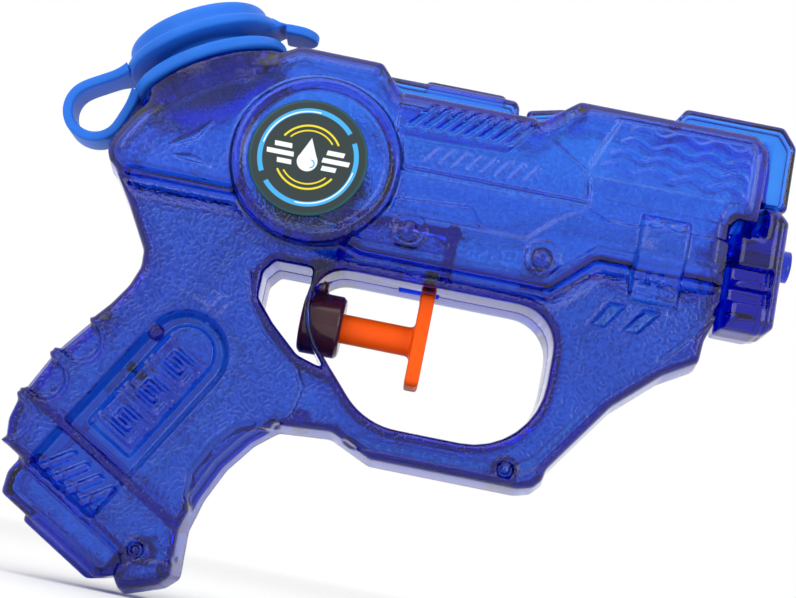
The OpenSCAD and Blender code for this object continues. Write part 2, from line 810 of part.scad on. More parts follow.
module nozzle_jet() {
    color("lightsteelblue") along_x(0) rotate_extrude() polygon([
        [jet_bore, 0], [jet_r + 0.9, 0], [jet_r + 0.9, -block_front_d + fit], [jet_r, -block_front_d + fit],
        [jet_r, -block_rear_d - wall], [barb_r, -block_rear_d - wall], [barb_r, -jet_rear_d],
        [barb_bore, -jet_rear_d], [barb_bore, -block_rear_d], [jet_passage, -block_rear_d],
        [jet_passage, -jet_land], [jet_bore, -jet_land]
    ]);
}

// Outlet hose: level, then an S up to the jet axis, then level again
outlet_turn = acos(1 + outlet_z / (2 * outlet_bend));
outlet_run = outlet_bend * sin(outlet_turn);
outlet_mid_d = (hose_start_d + hose_end_d) / 2;
outlet_path = concat(
    [[-hose_start_d, 0, outlet_z]],
    [for (i = [0 : 6]) let(a = outlet_turn * i / 6)
        [-outlet_mid_d - outlet_run + outlet_bend * sin(a), 0, outlet_z + outlet_bend * (1 - cos(a))]],
    [for (i = [5 : -1 : 0]) let(a = outlet_turn * i / 6)
        [-outlet_mid_d + outlet_run - outlet_bend * sin(a), 0, -outlet_bend * (1 - cos(a))]],
    [[-hose_end_d, 0, 0]]
);

module outlet_hose() {
    color(hose_clear) swept_tube(outlet_path);
}

module valve_block() {
    color("lightblue") difference() {
        translate([-valve_rear_d, -valve_w / 2, valve_low_z])
            cube([valve_rear_d - valve_front_d, valve_w, valve_top_z - valve_low_z]);
        along_pipe(valve_rear_d + past, inlet_z)
            cylinder(h = past + plug_len + inlet_hold + ball_r + ball_lift, r = valve_bore);
        along_pipe(outlet_seat_d, outlet_z)
            cylinder(h = outlet_seat_d - valve_front_d + past, r = valve_bore);
        along_pipe(riser_d, outlet_z) cylinder(h = riser_d - outlet_seat_d + tiny, r = port_r);
        translate([-riser_d, 0, cross_z - port_r]) cylinder(h = outlet_z - cross_z + 2 * port_r, r = port_r);
        along_pipe(riser_d, cross_z) cylinder(h = riser_d - stub_d, r = port_r);
        translate([-stub_d, 0, valve_low_z - past]) cylinder(h = stub_reach + past, r = stub_r + fit);
        translate([-stub_d, 0, valve_low_z]) cylinder(h = cross_z - valve_low_z, r = port_r);
    }
}

module barbed_fitting() {
    rotate_extrude() polygon([
        [barb_bore, 0], [valve_bore - fit, 0], [valve_bore - fit, plug_len], [barb_r, plug_len],
        [barb_r, plug_len + barb_len], [barb_bore, plug_len + barb_len]
    ]);
}

module inlet_fitting() {
    color("lightblue") translate([-inlet_seat_d, 0, inlet_z]) rotate([0, -90, 0]) barbed_fitting();
}

module inlet_ball() {
    color("silver") translate([-inlet_seat_d + inlet_hold, 0, inlet_z]) sphere(r = ball_r);
}

module outlet_fitting() {
    color("lightblue") translate([-valve_front_d - plug_len, 0, outlet_z]) rotate([0, 90, 0])
        barbed_fitting();
}

module outlet_ball() {
    color("silver") translate([-outlet_seat_d + outlet_hold, 0, outlet_z]) sphere(r = ball_r);
}

// Suction hose: back from the inlet, round a bend, and down along the grip
suction_turn = 90 - grip_tilt + 6;
suction_start_d = valve_rear_d + clear;
suction_bend_d = suction_start_d + suction_lead;
suction_path = concat(
    [[-suction_start_d, 0, inlet_z]],
    [for (i = [0 : 8]) let(a = suction_turn * i / 8)
        [-suction_bend_d - suction_bend * sin(a), 0, inlet_z - suction_bend * (1 - cos(a))]],
    [[-suction_bend_d - suction_bend * sin(suction_turn) - suction_len * cos(suction_turn), 0,
        inlet_z - suction_bend * (1 - cos(suction_turn)) - suction_len * sin(suction_turn)]]
);

module suction_hose() {
    color(hose_clear) swept_tube(suction_path);
}

module in_suction() {
    translate(suction_path[len(suction_path) - 1]) rotate([0, -90 - suction_turn, 0]) children();
}

module strainer() {
    color("lightblue") in_suction() translate([0, 0, fit]) difference() {
        union() {
            cylinder(h = strainer_len, r = hose_r + 0.9);
            translate([0, 0, -barb_len]) cylinder(h = barb_len + tiny, r = barb_r);
        }
        translate([0, 0, -barb_len - past]) cylinder(h = barb_len + strainer_len, r = barb_bore);
        for (a = [0 : 60 : 120])
            rotate(a) translate([-hose_r * 2, -0.4, 1]) cube([hose_r * 4, 0.8, strainer_len - 2.2]);
    }
}

module pump_barrel() {
    color(shell_blue) difference() {
        union() {
            along_pipe(barrel_rear_d, pump_z)
                cylinder(h = barrel_rear_d - barrel_front_d, r = barrel_r);
            translate([-stub_d, 0, pump_z]) cylinder(h = valve_low_z + stub_reach - fit - pump_z, r = stub_r);
        }
        along_pipe(chamber_rear_d, pump_z) cylinder(h = barrel_rear_d, r = chamber_r);
        translate([-stub_d, 0, pump_z]) cylinder(h = valve_low_z - pump_z + past * 3, r = port_r);
    }
}

module pump_gland() {
    color("lightblue") along_pipe(gland_rear_d, pump_z) tube(chamber_r - fit, rod_r + fit, gland_t);
}

// Trigger: push plate with a guide tongue, rod and piston head in one
module trigger() {
    top_z = open_top_z - 2 * clear;
    round_r = plate_t / 2;
    dish_r = pow(top_z - plate_low_z, 2) / (8 * plate_dish);
    color(trigger_orange) difference() {
        union() {
            translate([-plate_d - plate_t / 2, 0, 0]) rotate([90, 0, 90]) linear_extrude(plate_t) union() {
                offset(r = round_r, $fn = 24) translate([-plate_w / 2 + round_r, plate_low_z + round_r])
                    square([plate_w - 2 * round_r, top_z - plate_low_z - 2 * round_r]);
                translate([-tongue_w / 2, top_z - round_r]) square([tongue_w, tongue_z - top_z + round_r]);
            }
            along_pipe(piston_rear_d, pump_z) cylinder(h = piston_rear_d - plate_d, r = rod_r);
            along_pipe(piston_rear_d, pump_z) cylinder(h = piston_t, r = piston_r);
        }
        translate([-plate_d + plate_t / 2 - plate_dish + dish_r, -plate_w, (plate_low_z + top_z) / 2])
            rotate([-90, 0, 0]) cylinder(h = 2 * plate_w, r = dish_r, $fn = 200);
    }
}

module piston_seal() {
    color(charcoal) along_pipe(piston_rear_d, pump_z) tube(chamber_r - fit, piston_r + fit, piston_t);
}

// Return spring: one wire wound on a cone, so that its turns nest when it is pressed flat
spring_sides = 6;
spring_steps = 8 * spring_turns;
spring_big = chamber_r - wire_r - 0.35;
spring_small = spring_big - 1.6;
spring_len = chamber_rear_d - piston_rear_d - 2 * fit;
wire_d = 2 * wire_r;

function spring_at(i) = let(
    q = max(0, min(1, i / spring_steps)),
    r = spring_big + (spring_small - spring_big) * q,
    end = i < 0 ? -1 : (i > spring_steps ? 1 : 0)
) [
    wire_d + q * (spring_len - 2 * wire_d) + end * wire_d,
    r * cos(360 * spring_turns * q),
    r * sin(360 * spring_turns * q)
];

spring_path = [for (i = [-1 : spring_steps + 1]) spring_at(i)];

function unit(v) = v / norm(v);
function heading(path, i) = unit(path[min(i + 1, len(path) - 1)] - path[max(i - 1, 0)]);

// Ring of points round a place on a path; out is a direction across the path there
function ring_at(path, i, r, sides, dir, out) = let(
    side = unit(cross(dir, out)),
    up = cross(side, dir)
) [for (k = [0 : sides - 1]) path[i] + r * (up * cos(360 * k / sides) + side * sin(360 * k / sides))];

// Triangles between ring a and ring b of n points
function ring_walls(a, b, n) = [for (k = [0 : n - 1]) each [
    [a * n + k, a * n + (k + 1) % n, b * n + k],
    [a * n + (k + 1) % n, b * n + (k + 1) % n, b * n + k]
]];

module swept_wire(path) {
    n = spring_sides;
    last = len(path) - 1;
    points = [for (i = [0 : last]) each ring_at(path, i, wire_r, n,
        i == 0 || i == last ? [1, 0, 0] : heading(path, i), [0, path[i][1], path[i][2]])];
    polyhedron(points, concat(
        [for (i = [0 : last - 1]) each ring_walls(i, i + 1, n)],
        [for (k = [1 : n - 2]) [0, k + 1, k]],
        [for (k = [1 : n - 2]) [last * n, last * n + k, last * n + k + 1]]
    ));
}

// Hose along a path in the middle plane; its bore's flats stand at the bore radius
module swept_tube(path) {
    n = 16;
    last = len(path) - 1;
    bore = hose_bore / cos(180 / n);
    points = concat(
        [for (i = [0 : last]) each ring_at(path, i, hose_r, n, heading(path, i), [0, 1, 0])],
        [for (i = [last : -1 : 0]) each ring_at(path, i, bore, n, heading(path, i), [0, 1, 0])]
    );
    polyhedron(points, concat(
        [for (i = [0 : 2 * last]) each ring_walls(i, i + 1, n)],
        ring_walls(2 * last + 1, 0, n)
    ));
}

// Least gap between turns, measured between points at least half a turn apart
spring_gap = min([
    for (i = [0 : len(spring_path) - 1], j = [0 : len(spring_path) - 1])
        if (j >= i + 4) norm(spring_path[i] - spring_path[j]) - wire_d
]);
echo(spring_least_gap = spring_gap);

module return_spring() {
    color("silver") translate([-chamber_rear_d + fit, 0, pump_z]) swept_wire(spring_path);
}

module filler_neck() {
    color(shell_blue) on_neck(-neck_len) tube(neck_outer, mouth_r, neck_len + neck_lip);
}

// Ring that holds the strap round the neck
module cap_ring() {
    edge = 0.6;
    color(cap_blue) on_neck(-ring_h) rotate_extrude() polygon([
        [neck_outer + fit, 0], [ring_r - edge, 0], [ring_r, edge],
        [ring_r, ring_h - edge], [ring_r - edge, ring_h], [neck_outer + fit, ring_h]
    ]);
}

// Strap from the ring round its loop to the cap's flange, drawn in the neck's own frame
loop_t = -ring_r - loop_back;
loop_s = -1.8;
flange_s = cap_gap + flange_h / 2;

function loop_at(r, a) = [loop_t + r * cos(a), loop_s + r * sin(a)];

module strap_2d() {
    first_a = 96;
    last_a = 300;
    half_t = strap_t / 2;
    polygon(concat(
        [for (a = [first_a : 6 : last_a + 1]) loop_at(loop_r + half_t, min(a, last_a))],
        [for (a = [last_a : -6 : first_a - 1]) loop_at(loop_r - half_t, max(a, first_a))]
    ));
    hull() {
        translate(loop_at(loop_r, first_a)) circle(half_t, $fn = 24);
        translate([-ring_r + past, flange_s]) circle(half_t, $fn = 24);
    }
    hull() {
        translate(loop_at(loop_r, last_a)) circle(half_t, $fn = 24);
        translate([-ring_r + past, -ring_h / 2]) circle(half_t, $fn = 24);
    }
}

module cap_strap() {
    color(cap_blue) difference() {
        on_neck() slab(-strap_w / 2, strap_w / 2) strap_2d();
        on_neck(-ring_h - past) cylinder(h = ring_h + past + flange_h + cap_gap + past, r = ring_r + fit);
    }
}

// Cap: hollow plug with two seal beads, flange, top and pull tab
module filler_cap() {
    plug_r = mouth_r - 0.7;
    seal = mouth_r - fit;
    bead_s = 1.2;
    edge = 0.5;
    round_r = 1.6;
    top_s = flange_h + cap_h;
    color(cap_blue) {
        on_neck(cap_gap) rotate_extrude() polygon(concat(
            [
                [0, top_s], [0, top_s - cap_wall], [plug_r - cap_wall, top_s - cap_wall],
                [plug_r - cap_wall, -plug_h], [plug_r - edge, -plug_h], [plug_r, -plug_h + edge]
            ],
            [for (k = [1, 3]) each [
                [plug_r, -plug_h + k * bead_s - edge / 4], [seal, -plug_h + k * bead_s],
                [seal, -plug_h + k * bead_s + edge], [plug_r, -plug_h + (k + 1) * bead_s]
            ]],
            [
                [plug_r, 0], [ring_r - edge, 0], [ring_r, edge], [ring_r, flange_h - edge],
                [ring_r - edge, flange_h], [cap_r + edge, flange_h]
            ],
            [for (a = [0 : 15 : 90]) [cap_r - round_r + round_r * cos(a), top_s - round_r + round_r * sin(a)]]
        ));
        pull_tab();
    }
}

// Pull tab: level, rooted in the front of the flange and clear of the ring under it
module pull_tab() {
    root = slope_at(ring_r, -cap_gap);
    drop = 1;
    pass = drop * tan(neck_tilt) + fit;
    step = 0.12;
    reach = tab_len - tab_w / 2;
    translate([root[0] + pass, 0, root[1] - drop]) linear_extrude(tab_t) intersection() {
        translate([0, -tab_w / 2]) square([tab_len, tab_w]);
        union() {
            translate([0, -tab_w / 2]) square([reach, tab_w]);
            translate([reach, 0]) circle(tab_w / 2);
        }
    }
    translate([root[0] - wall, -tab_w / 2, root[1] + step]) cube([reach + wall, tab_w, tab_t - drop - step]);
}

module badge() {
    translate([-disc_d - badge_shift, -disc_half + recess_h - fit, disc_z]) rotate([90, 0, 0])
        cylinder(h = badge_t, r = badge_r, $fn = 96);
}

module right_badge() {
    color(charcoal) badge();
}

module left_badge() {
    color(charcoal) mirror([0, 1, 0]) badge();
}

right_shell();
left_shell();
muzzle_block();
nozzle_jet();
outlet_hose();
valve_block();
inlet_fitting();
inlet_ball();
outlet_fitting();
outlet_ball();
suction_hose();
strainer();
pump_barrel();
pump_gland();
return_spring();
trigger();
piston_seal();
filler_neck();
cap_ring();
cap_strap();
filler_cap();
right_badge();
left_badge();
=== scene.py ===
import math
from functools import reduce

import bmesh
import bpy
import numpy as np
from bpy.props import FloatProperty, FloatVectorProperty, IntProperty, PointerProperty
from mathutils import Matrix, Vector


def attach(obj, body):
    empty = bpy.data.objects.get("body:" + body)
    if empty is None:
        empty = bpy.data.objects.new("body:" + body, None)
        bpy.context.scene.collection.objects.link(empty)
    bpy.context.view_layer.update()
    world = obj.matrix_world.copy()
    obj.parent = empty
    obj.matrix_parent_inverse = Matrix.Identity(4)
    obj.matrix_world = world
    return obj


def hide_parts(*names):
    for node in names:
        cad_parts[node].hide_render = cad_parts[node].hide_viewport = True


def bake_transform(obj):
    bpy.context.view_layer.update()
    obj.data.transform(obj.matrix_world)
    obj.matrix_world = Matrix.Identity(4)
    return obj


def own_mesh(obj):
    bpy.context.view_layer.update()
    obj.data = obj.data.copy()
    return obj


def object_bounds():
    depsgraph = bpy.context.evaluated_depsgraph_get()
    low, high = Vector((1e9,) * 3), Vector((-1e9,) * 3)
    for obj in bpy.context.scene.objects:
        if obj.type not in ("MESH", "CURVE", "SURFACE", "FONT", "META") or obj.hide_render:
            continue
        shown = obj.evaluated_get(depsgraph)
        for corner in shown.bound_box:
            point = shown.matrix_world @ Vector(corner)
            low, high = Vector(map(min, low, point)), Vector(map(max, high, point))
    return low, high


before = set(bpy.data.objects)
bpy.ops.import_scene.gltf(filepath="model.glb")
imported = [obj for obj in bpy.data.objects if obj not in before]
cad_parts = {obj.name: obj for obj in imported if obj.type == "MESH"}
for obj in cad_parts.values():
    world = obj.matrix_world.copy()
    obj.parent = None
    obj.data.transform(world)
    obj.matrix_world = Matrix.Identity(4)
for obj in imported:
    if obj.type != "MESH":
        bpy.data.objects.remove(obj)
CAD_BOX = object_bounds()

bl_info = {
    "name": "Water squirter",
    "version": (1, 0, 0),
    "blender": (4, 5, 0),
    "location": "3D View > Sidebar > Squirter",
    "description": "Builds a see-through toy water squirter around its packed frame",
    "category": "Add Mesh",
}

# Lengths are in millimetres in the frame's axes: x along the jet, y to the left and z up
MM = 0.001
DIAGONAL = math.sqrt(0.5)
LEAN = math.radians(30.0)
COS, SIN = math.cos(LEAN), math.sin(LEAN)
NECK = (-129.2, 18.2)  # where the neck's axis crosses the ring's upper face
GRIP = (-120.0, -43.5)  # where the grip's own axes start
DISC = (-101.5, -0.2)
BADGE = (-103.1, -0.2)
PUMP_Z, BARREL_R = -31.5, 6.6  # height of the pump's axis, and its barrel
STUB_X = -96.2  # middle of the barrel's upright stub
PUSH_X, PUSH_FRONT = -73.4, -71.9  # middle and front of the trigger's push plate
SLIDE_HALF, FRAME_HALF = 12.6, 10.8  # half widths of the slide, and of the guard and grip
SIDE_LIMIT = 17.05  # half the width that the casing stays within
DISC_R, DISC_HALF = 17.6, 14.5  # the raised disc on each side
RECESS_R, RECESS_HALF = 14.3, 13.2  # the round recess that a badge sits in
BOSS_R, BORE_R = 16.3, 12.85  # outside and inside of the casing's mouth under the neck
RING_R, RING_LOW = 17.1, -2.5  # the cap's ring: outside, and underside along the neck
CAP_LOW = 3.1  # underside of the cap's flange, along the neck


def on_neck(t, s):
    """Side-view place of a point t up the slope and s out along the neck's axis."""
    return (NECK[0] + t * COS - s * SIN, NECK[1] + t * SIN + s * COS)


def on_grip(u, v):
    """Side-view place of a point u across the grip and v up it."""
    return (GRIP[0] + u * COS + v * SIN, GRIP[1] - u * SIN + v * COS)


# Outlines in the side view, as points (x, z); those through on_grip are (across, up) on the grip.
# A third number is the radius of a corner or of a round piece.
UPPER = [
    (-141.5, -11), (-144.6, -8.2), (-145.7, -5.4), (-144.7, -2), (-141.4, 4),
    on_neck(-7, -3.5), on_neck(20, -3.5), (-91.8, 25), (-86.6, 19.1), (-57.7, 19.1),
    (-50.4, 25), (-12.1, 25), (-8.6, 21.5), (-8.6, 4.45), (-13.55, 4.45), (-13.55, -10),
    (-40.3, -10), (-49, -18), (-89, -18), (-110.3, -11),
]
GRIP_EDGE = [
    (25, 0.4), (23, -5), (22.1, -12.4), (22.8, -20), (24.6, -26.6), (29.8, -34.8),
    (28.8, -38.2), (23.2, -44.7), (19.6, -43), (18, -39.3), (-9.4, -39.3), (-9.4, -38.3),
    (-15, -38.3), (-18.2, -34), (-19.8, -28.8), (-20.6, -18), (-19.6, -9.7), (-18.4, -2.5),
]
FRAME = [
    (-13.55, 0), (-13.55, -15), (-15.6, -21), (-16, -26), (-23.1, -30.2), (-32.1, -38.4),
    (-42.6, -53.2), (-43, -55.6), (-45, -57.8), (-48.4, -58.7), (-78.8, -58.7), (-87.4, -54.8),
    *[on_grip(u, v) for u, v in GRIP_EDGE],
    (-134.6, -32.4), (-133.2, -28.4), (-133.4, -25.2), (-138.4, -16.6), (-141.2, -12.3),
    (-143.4, -9.1), (-139, -6.5),
]
FOOT = [on_grip(u, v) for u, v in
        [(-10, -36.3), (-10, -41.2), (-8, -45.2), (17.4, -45.2), (19.6, -43), (19.6, -30)]]
PLATE = [on_grip(u, v) for u, v in
         [(-2.8, -41.2), (-1.5, -46.7), (16, -46.7), (19, -44), (19, -32)]]
FIN = [(-31, 23.2), (-27, 29.4), (-5.7, 29.4), (-2.5, 25.4), (-2.5, 11), (-10.4, 11),
       (-10.4, 23.2)]
RAIL = [(-91.8, 17.3), (-91.8, 23.8), (-63, 23.8), (-62, 22.3), (-62, 17.3)]
RAIL_STRIP = [(-83.4, 22.4), (-82.4, 24.8), (-65.6, 24.8), (-64.6, 22.4)]
RAIL_END = [(-60.4, 17.3), (-60.4, 22.2), (-52, 24.2), (-49, 17.3)]
# Narrower blocks moulded on the casing: outline, half width and bevel
BLOCKS = [(FOOT, 9.0, 1.2), (PLATE, 6.0, 0.8), (FIN, 4.0, 1.0), (RAIL, 4.0, 0.9),
          (RAIL_STRIP, 2.6, 0.5), (RAIL_END, 4.0, 0.9)]
CLIP = [(-33.4, -15.6), (-23.6, -15.6), (-23.6, 1.8), (-33.4, 1.8)]
FINGER_ROOM = [(-96.6, -20.9, 6.5), (-96.6, -34, 15), (-81.1, -51, 15), (-46.4, -51, 15),
               (-46.4, -20.9, 8.5)]
CRESCENT = [(-105.4, -21.9), (-107.4, -24.5), (-107.4, -29.9), (-103.4, -34.5),
            (-97.2, -40), (-90.6, -42), (-90.6, -21.9)]
PINS = [(-79.9, -10.9), (-52.2, -11), (-51.6, -54.6), (-119, -84.6)]
PEGS = [(-113.3, -87.2, 2.1), (-137.4, -39.8, 1.7), (-126.2, -41.1, 1.4), (-93.8, -52.0, 1.3),
        (-49.4, 22.4, 1.5), (-70.8, -9.6, 1.6), (-30.0, 22.4, 1.2)]
MUZZLE = [(-13.5, -17.4), (-13.5, 3.7), (-12.8, 4.4), (-8.55, 4.4), (-8.55, 10.4),
          (-4.4, 10.4), (-2, 8), (-2, -15), (-4.4, -17.4)]


# Distances on a grid of points, in millimetres: below nought is inside


class Grid:
    """A box of evenly spaced points on which distances are worked out."""

    def __init__(self, low, high, cell):
        self.low, self.cell = np.array(low, np.float32), np.float32(cell)
        count = np.ceil((np.array(high) - np.array(low)) / cell).astype(int) + 1
        axes = [self.low[i] + self.cell * np.arange(count[i], dtype=np.float32)
                for i in range(3)]
        self.x = axes[0][:, None, None]
        self.y = axes[1][None, :, None]
        self.z = axes[2][None, None, :]


def rounded(corners, steps=8):
    """Outline through corners (x, z, radius), each corner rounded by its radius."""
    points = []
    for i, (x, z, r) in enumerate(corners):
        here = np.array([x, z], float)
        a = np.array(corners[i - 1][:2], float) - here
        b = np.array(corners[(i + 1) % len(corners)][:2], float) - here
        a, b = a / np.linalg.norm(a), b / np.linalg.norm(b)
        half = 0.5 * math.acos(max(-1.0, min(1.0, float(a @ b))))
        centre = here + (a + b) / np.linalg.norm(a + b) * r / math.sin(half)
        first, last = here + a * r / math.tan(half), here + b * r / math.tan(half)
        start = math.atan2(*(first - centre)[::-1])
        turn = math.atan2(*(last - centre)[::-1]) - start
        turn = (turn + math.pi) % (2 * math.pi) - math.pi
        for k in range(steps + 1):
            angle = start + turn * k / steps
            points.append((centre[0] + r * math.cos(angle), centre[1] + r * math.sin(angle)))
    return points


def to_line(points, a, b, closed=False):
    """Distance of the points (a, b) of a flat grid from a run of straight lines."""
    points = np.asarray(points, np.float32)
    ends = np.roll(points, -1, 0) if closed else points[1:]
    near = np.full(np.broadcast(a, b).shape, 1e9, np.float32)
    for (px, pz), (qx, qz) in zip(points, ends):
        ex, ez = qx - px, qz - pz
        k = np.clip(((a - px) * ex + (b - pz) * ez) / (ex * ex + ez * ez + 1e-9), 0, 1)
        near = np.minimum(near, (a - px - ex * k) ** 2 + (b - pz - ez * k) ** 2)
    return np.sqrt(near)


def to_outline(points, a, b):
    """Distance from a closed outline, below nought inside it."""
    points = np.asarray(points, np.float32)
    inside = np.zeros(np.broadcast(a, b).shape, bool)
    for (px, pz), (qx, qz) in zip(points, np.roll(points, -1, 0)):
        if pz != qz:
            cross = (pz <= b) != (qz <= b)
            inside ^= cross & (a < px + (b - pz) * (qx - px) / (qz - pz))
    near = to_line(points, a, b, closed=True)
    return np.where(inside, -near, near)


def meet(*fields):
    """What the given solids share."""
    return reduce(np.maximum, fields)


def unite(*fields):
    """The given solids as one."""
    return reduce(np.minimum, fields)


def carve(body, *cuts):
    """A solid with the given ones cut out of it."""
    return reduce(lambda left, cut: np.maximum(left, -cut), cuts, body)


def within(value, middle, half):
    """Distance from a slice that reaches half to each side of its middle."""
    return np.abs(value - middle) - half


def ramp(value, width):
    """Nought to one while a value rises from nought to width."""
    return np.clip(value / width, 0, 1)


def slab(side, depth, half, bevel, draft=0.0):
    """An outline given a half thickness, with its far edge bevelled and its sides
    drawn in by draft for each millimetre of depth."""
    side = side + draft * depth
    return meet(side, depth - half, (side + depth - half + bevel) * DIAGONAL)


def pillow(side, depth, half, r, draft=0.0):
    """An outline given a half thickness, with its far edge rounded by r and its sides
    drawn in by draft for each millimetre of depth."""
    a, b = side + draft * depth + r, depth - half + r
    return np.minimum(np.maximum(a, b), 0) + np.hypot(np.maximum(a, 0), np.maximum(b, 0)) - r


def rod(grid, z, r, start, end):
    """Distance from a round rod that lies along the jet's direction."""
    return meet(np.hypot(grid.y, grid.z - z) - r,
                within(grid.x, 0.5 * (start + end), 0.5 * (end - start)))


def join(a, b, fillet):
    """Two solids joined with a soft fillet."""
    k = np.clip(0.5 + 0.5 * (b - a) / fillet, 0, 1)
    return b * (1 - k) + a * k - fillet * k * (1 - k)


def soften(field, passes):
    """Rounds edges by blurring the distances."""
    for _ in range(passes):
        for axis in range(3):
            pad = [(1, 1) if i == axis else (0, 0) for i in range(3)]
            wide = np.moveaxis(np.pad(field, pad, mode="edge"), axis, 0)
            field = np.moveaxis(0.25 * wide[:-2] + 0.5 * wide[1:-1] + 0.25 * wide[2:], 0, axis)
    return np.ascontiguousarray(field)


def skin(grid, field):
    """Corners and four-sided faces over the places where the distances cross nought."""
    inside = field < 0
    corner = [(i, j, k) for i in (0, 1) for j in (0, 1) for k in (0, 1)]
    shape = [n - 1 for n in field.shape]
    count = sum(inside[i:i + shape[0], j:j + shape[1], k:k + shape[2]].astype(np.uint8)
                for i, j, k in corner)
    mixed = (count > 0) & (count < 8)
    cells = np.argwhere(mixed)
    index = np.full(mixed.shape, -1, np.int32)
    index[mixed] = np.arange(len(cells), dtype=np.int32)
    total = np.zeros((len(cells), 3), np.float32)
    hits = np.zeros(len(cells), np.float32)
    for axis in range(3):
        step = np.eye(3, dtype=int)[axis]
        for offset in corner:
            if offset[axis]:
                continue
            a = field[tuple((cells + offset).T)]
            b = field[tuple((cells + offset + step).T)]
            cross = (a < 0) != (b < 0)
            k = np.where(cross, a / np.where(cross, a - b, 1), 0)
            total += np.where(cross[:, None], np.array(offset) + k[:, None] * step, 0)
            hits += cross
    corners = grid.low + (cells + total / hits[:, None]) * grid.cell
    faces = []
    for axis in range(3):
        u, v = (axis + 1) % 3, (axis + 2) % 3
        near = np.moveaxis(inside, axis, 0)
        place = np.argwhere(np.moveaxis(near[:-1] != near[1:], 0, axis))
        keep = ((place[:, u] > 0) & (place[:, v] > 0)
                & (place[:, u] < field.shape[u] - 1) & (place[:, v] < field.shape[v] - 1))
        place = place[keep]
        du, dv = np.eye(3, dtype=int)[u], np.eye(3, dtype=int)[v]
        quad = np.stack([index[tuple((place - du - dv).T)], index[tuple((place - dv).T)],
                         index[tuple(place.T)], index[tuple((place - du).T)]], 1)
        flip = ~inside[tuple(place.T)]
        quad[flip] = quad[flip][:, ::-1]
        faces.append(quad)
    return corners, np.concatenate(faces)


def lean_of(grid, field, points):
    """Outward directions of the surface at the given points."""
    limit = np.array(field.shape) - 1.001

    def read(p):
        q = np.clip((p - grid.low) / grid.cell, 0, limit)
        i = q.astype(int)
        f = (q - i).astype(np.float32)
        total = 0
        for a in (0, 1):
            for b in (0, 1):
                for c in (0, 1):
                    w = (np.abs(1 - a - f[:, 0]) * np.abs(1 - b - f[:, 1])
                         * np.abs(1 - c - f[:, 2]))
                    total = total + w * field[i[:, 0] + a, i[:, 1] + b, i[:, 2] + c]
        return total

    steps = np.eye(3, dtype=np.float32) * grid.cell * 0.6
    out = np.stack([read(points + s) - read(points - s) for s in steps], 1)
    return out / np.maximum(np.linalg.norm(out, axis=1, keepdims=True), 1e-9)


# Meshes


def new_object(name, corners, faces, material):
    """A smooth mesh object from corners in millimetres and equal-sized faces."""
    corners, faces = np.asarray(corners, np.float32) * MM, np.asarray(faces, np.int32)
    mesh = bpy.data.meshes.new(name)
    mesh.vertices.add(len(corners))
    mesh.vertices.foreach_set("co", corners.ravel())
    mesh.loops.add(faces.size)
    mesh.loops.foreach_set("vertex_index", faces.ravel())
    mesh.polygons.add(len(faces))
    starts = np.arange(0, faces.size, faces.shape[1], dtype=np.int32)
    mesh.polygons.foreach_set("loop_start", starts)
    mesh.update(calc_edges=True)
    mesh.validate()
    mesh.shade_smooth()
    obj = bpy.data.objects.new(name, mesh)
    bpy.context.scene.collection.objects.link(obj)
    mesh.materials.append(material)
    return obj


def thin_out(obj, target):
    """Fewer triangles on the flat parts of a mesh."""
    have = sum(len(p.vertices) - 2 for p in obj.data.polygons)
    if have > target:
        thin = obj.modifiers.new("thin", "DECIMATE")
        thin.ratio = target / have
        graph = bpy.context.evaluated_depsgraph_get()
        mesh = bpy.data.meshes.new_from_object(obj.evaluated_get(graph))
        obj.modifiers.clear()
        mesh.name = obj.name
        obj.data = mesh
    return obj


def mould(name, grid, field, target, material, place=None, mirror=False):
    """The solid of a field as an object, with its shading taken from the field."""
    corners, faces = skin(grid, field)
    obj = thin_out(new_object(name, corners, faces, material), target)
    points = np.empty(len(obj.data.vertices) * 3, np.float32)
    obj.data.vertices.foreach_get("co", points)
    points = points.reshape(-1, 3) / MM
    out = lean_of(grid, field, points)
    if place is not None:
        origin, turn = place
        points, out = points @ turn.T + origin, out @ turn.T
    if mirror:
        points, out = points * (1, -1, 1), out * (1, -1, 1)
        obj.data.flip_normals()
    obj.data.vertices.foreach_set("co", (points * MM).astype(np.float32).ravel())
    obj.data.update()
    obj.data.shade_smooth()
    obj.data.normals_split_custom_set_from_vertices(out.tolist())
    return obj


def ring_faces(rows, n):
    """Four-sided faces between rows of n points, each row closed on itself."""
    return [(i * n + k, i * n + (k + 1) % n, (i + 1) * n + (k + 1) % n, (i + 1) * n + k)
            for i in range(rows - 1) for k in range(n)]


def sweep(path, ring):
    """Corners and faces of rings of points carried along a path; ring gives the points
    of one cross-section as (sideways, up) and may change along the path."""
    path = np.asarray(path, float)
    ahead = np.gradient(path, axis=0)
    ahead /= np.linalg.norm(ahead, axis=1, keepdims=True)
    side = np.array([0.0, 1.0, 0.0])
    corners = []
    for i, (p, d) in enumerate(zip(path, ahead)):
        a = side - d * (side @ d)
        a /= np.linalg.norm(a)
        b = np.cross(d, a)
        section = np.asarray(ring(i / (len(path) - 1)), float)
        corners.append(p + section[:, :1] * a + section[:, 1:] * b)
    return np.concatenate(corners), ring_faces(len(path), len(corners[0]))


def circle(r, n=20):
    """One round cross-section."""
    return [(r * math.cos(2 * math.pi * k / n), r * math.sin(2 * math.pi * k / n))
            for k in range(n)]


def close_ends(obj):
    """Caps the open ends of a swept mesh."""
    work = bmesh.new()
    work.from_mesh(obj.data)
    bmesh.ops.holes_fill(work, edges=[e for e in work.edges if e.is_boundary], sides=0)
    bmesh.ops.recalc_face_normals(work, faces=work.faces)
    work.to_mesh(obj.data)
    work.free()
    return obj


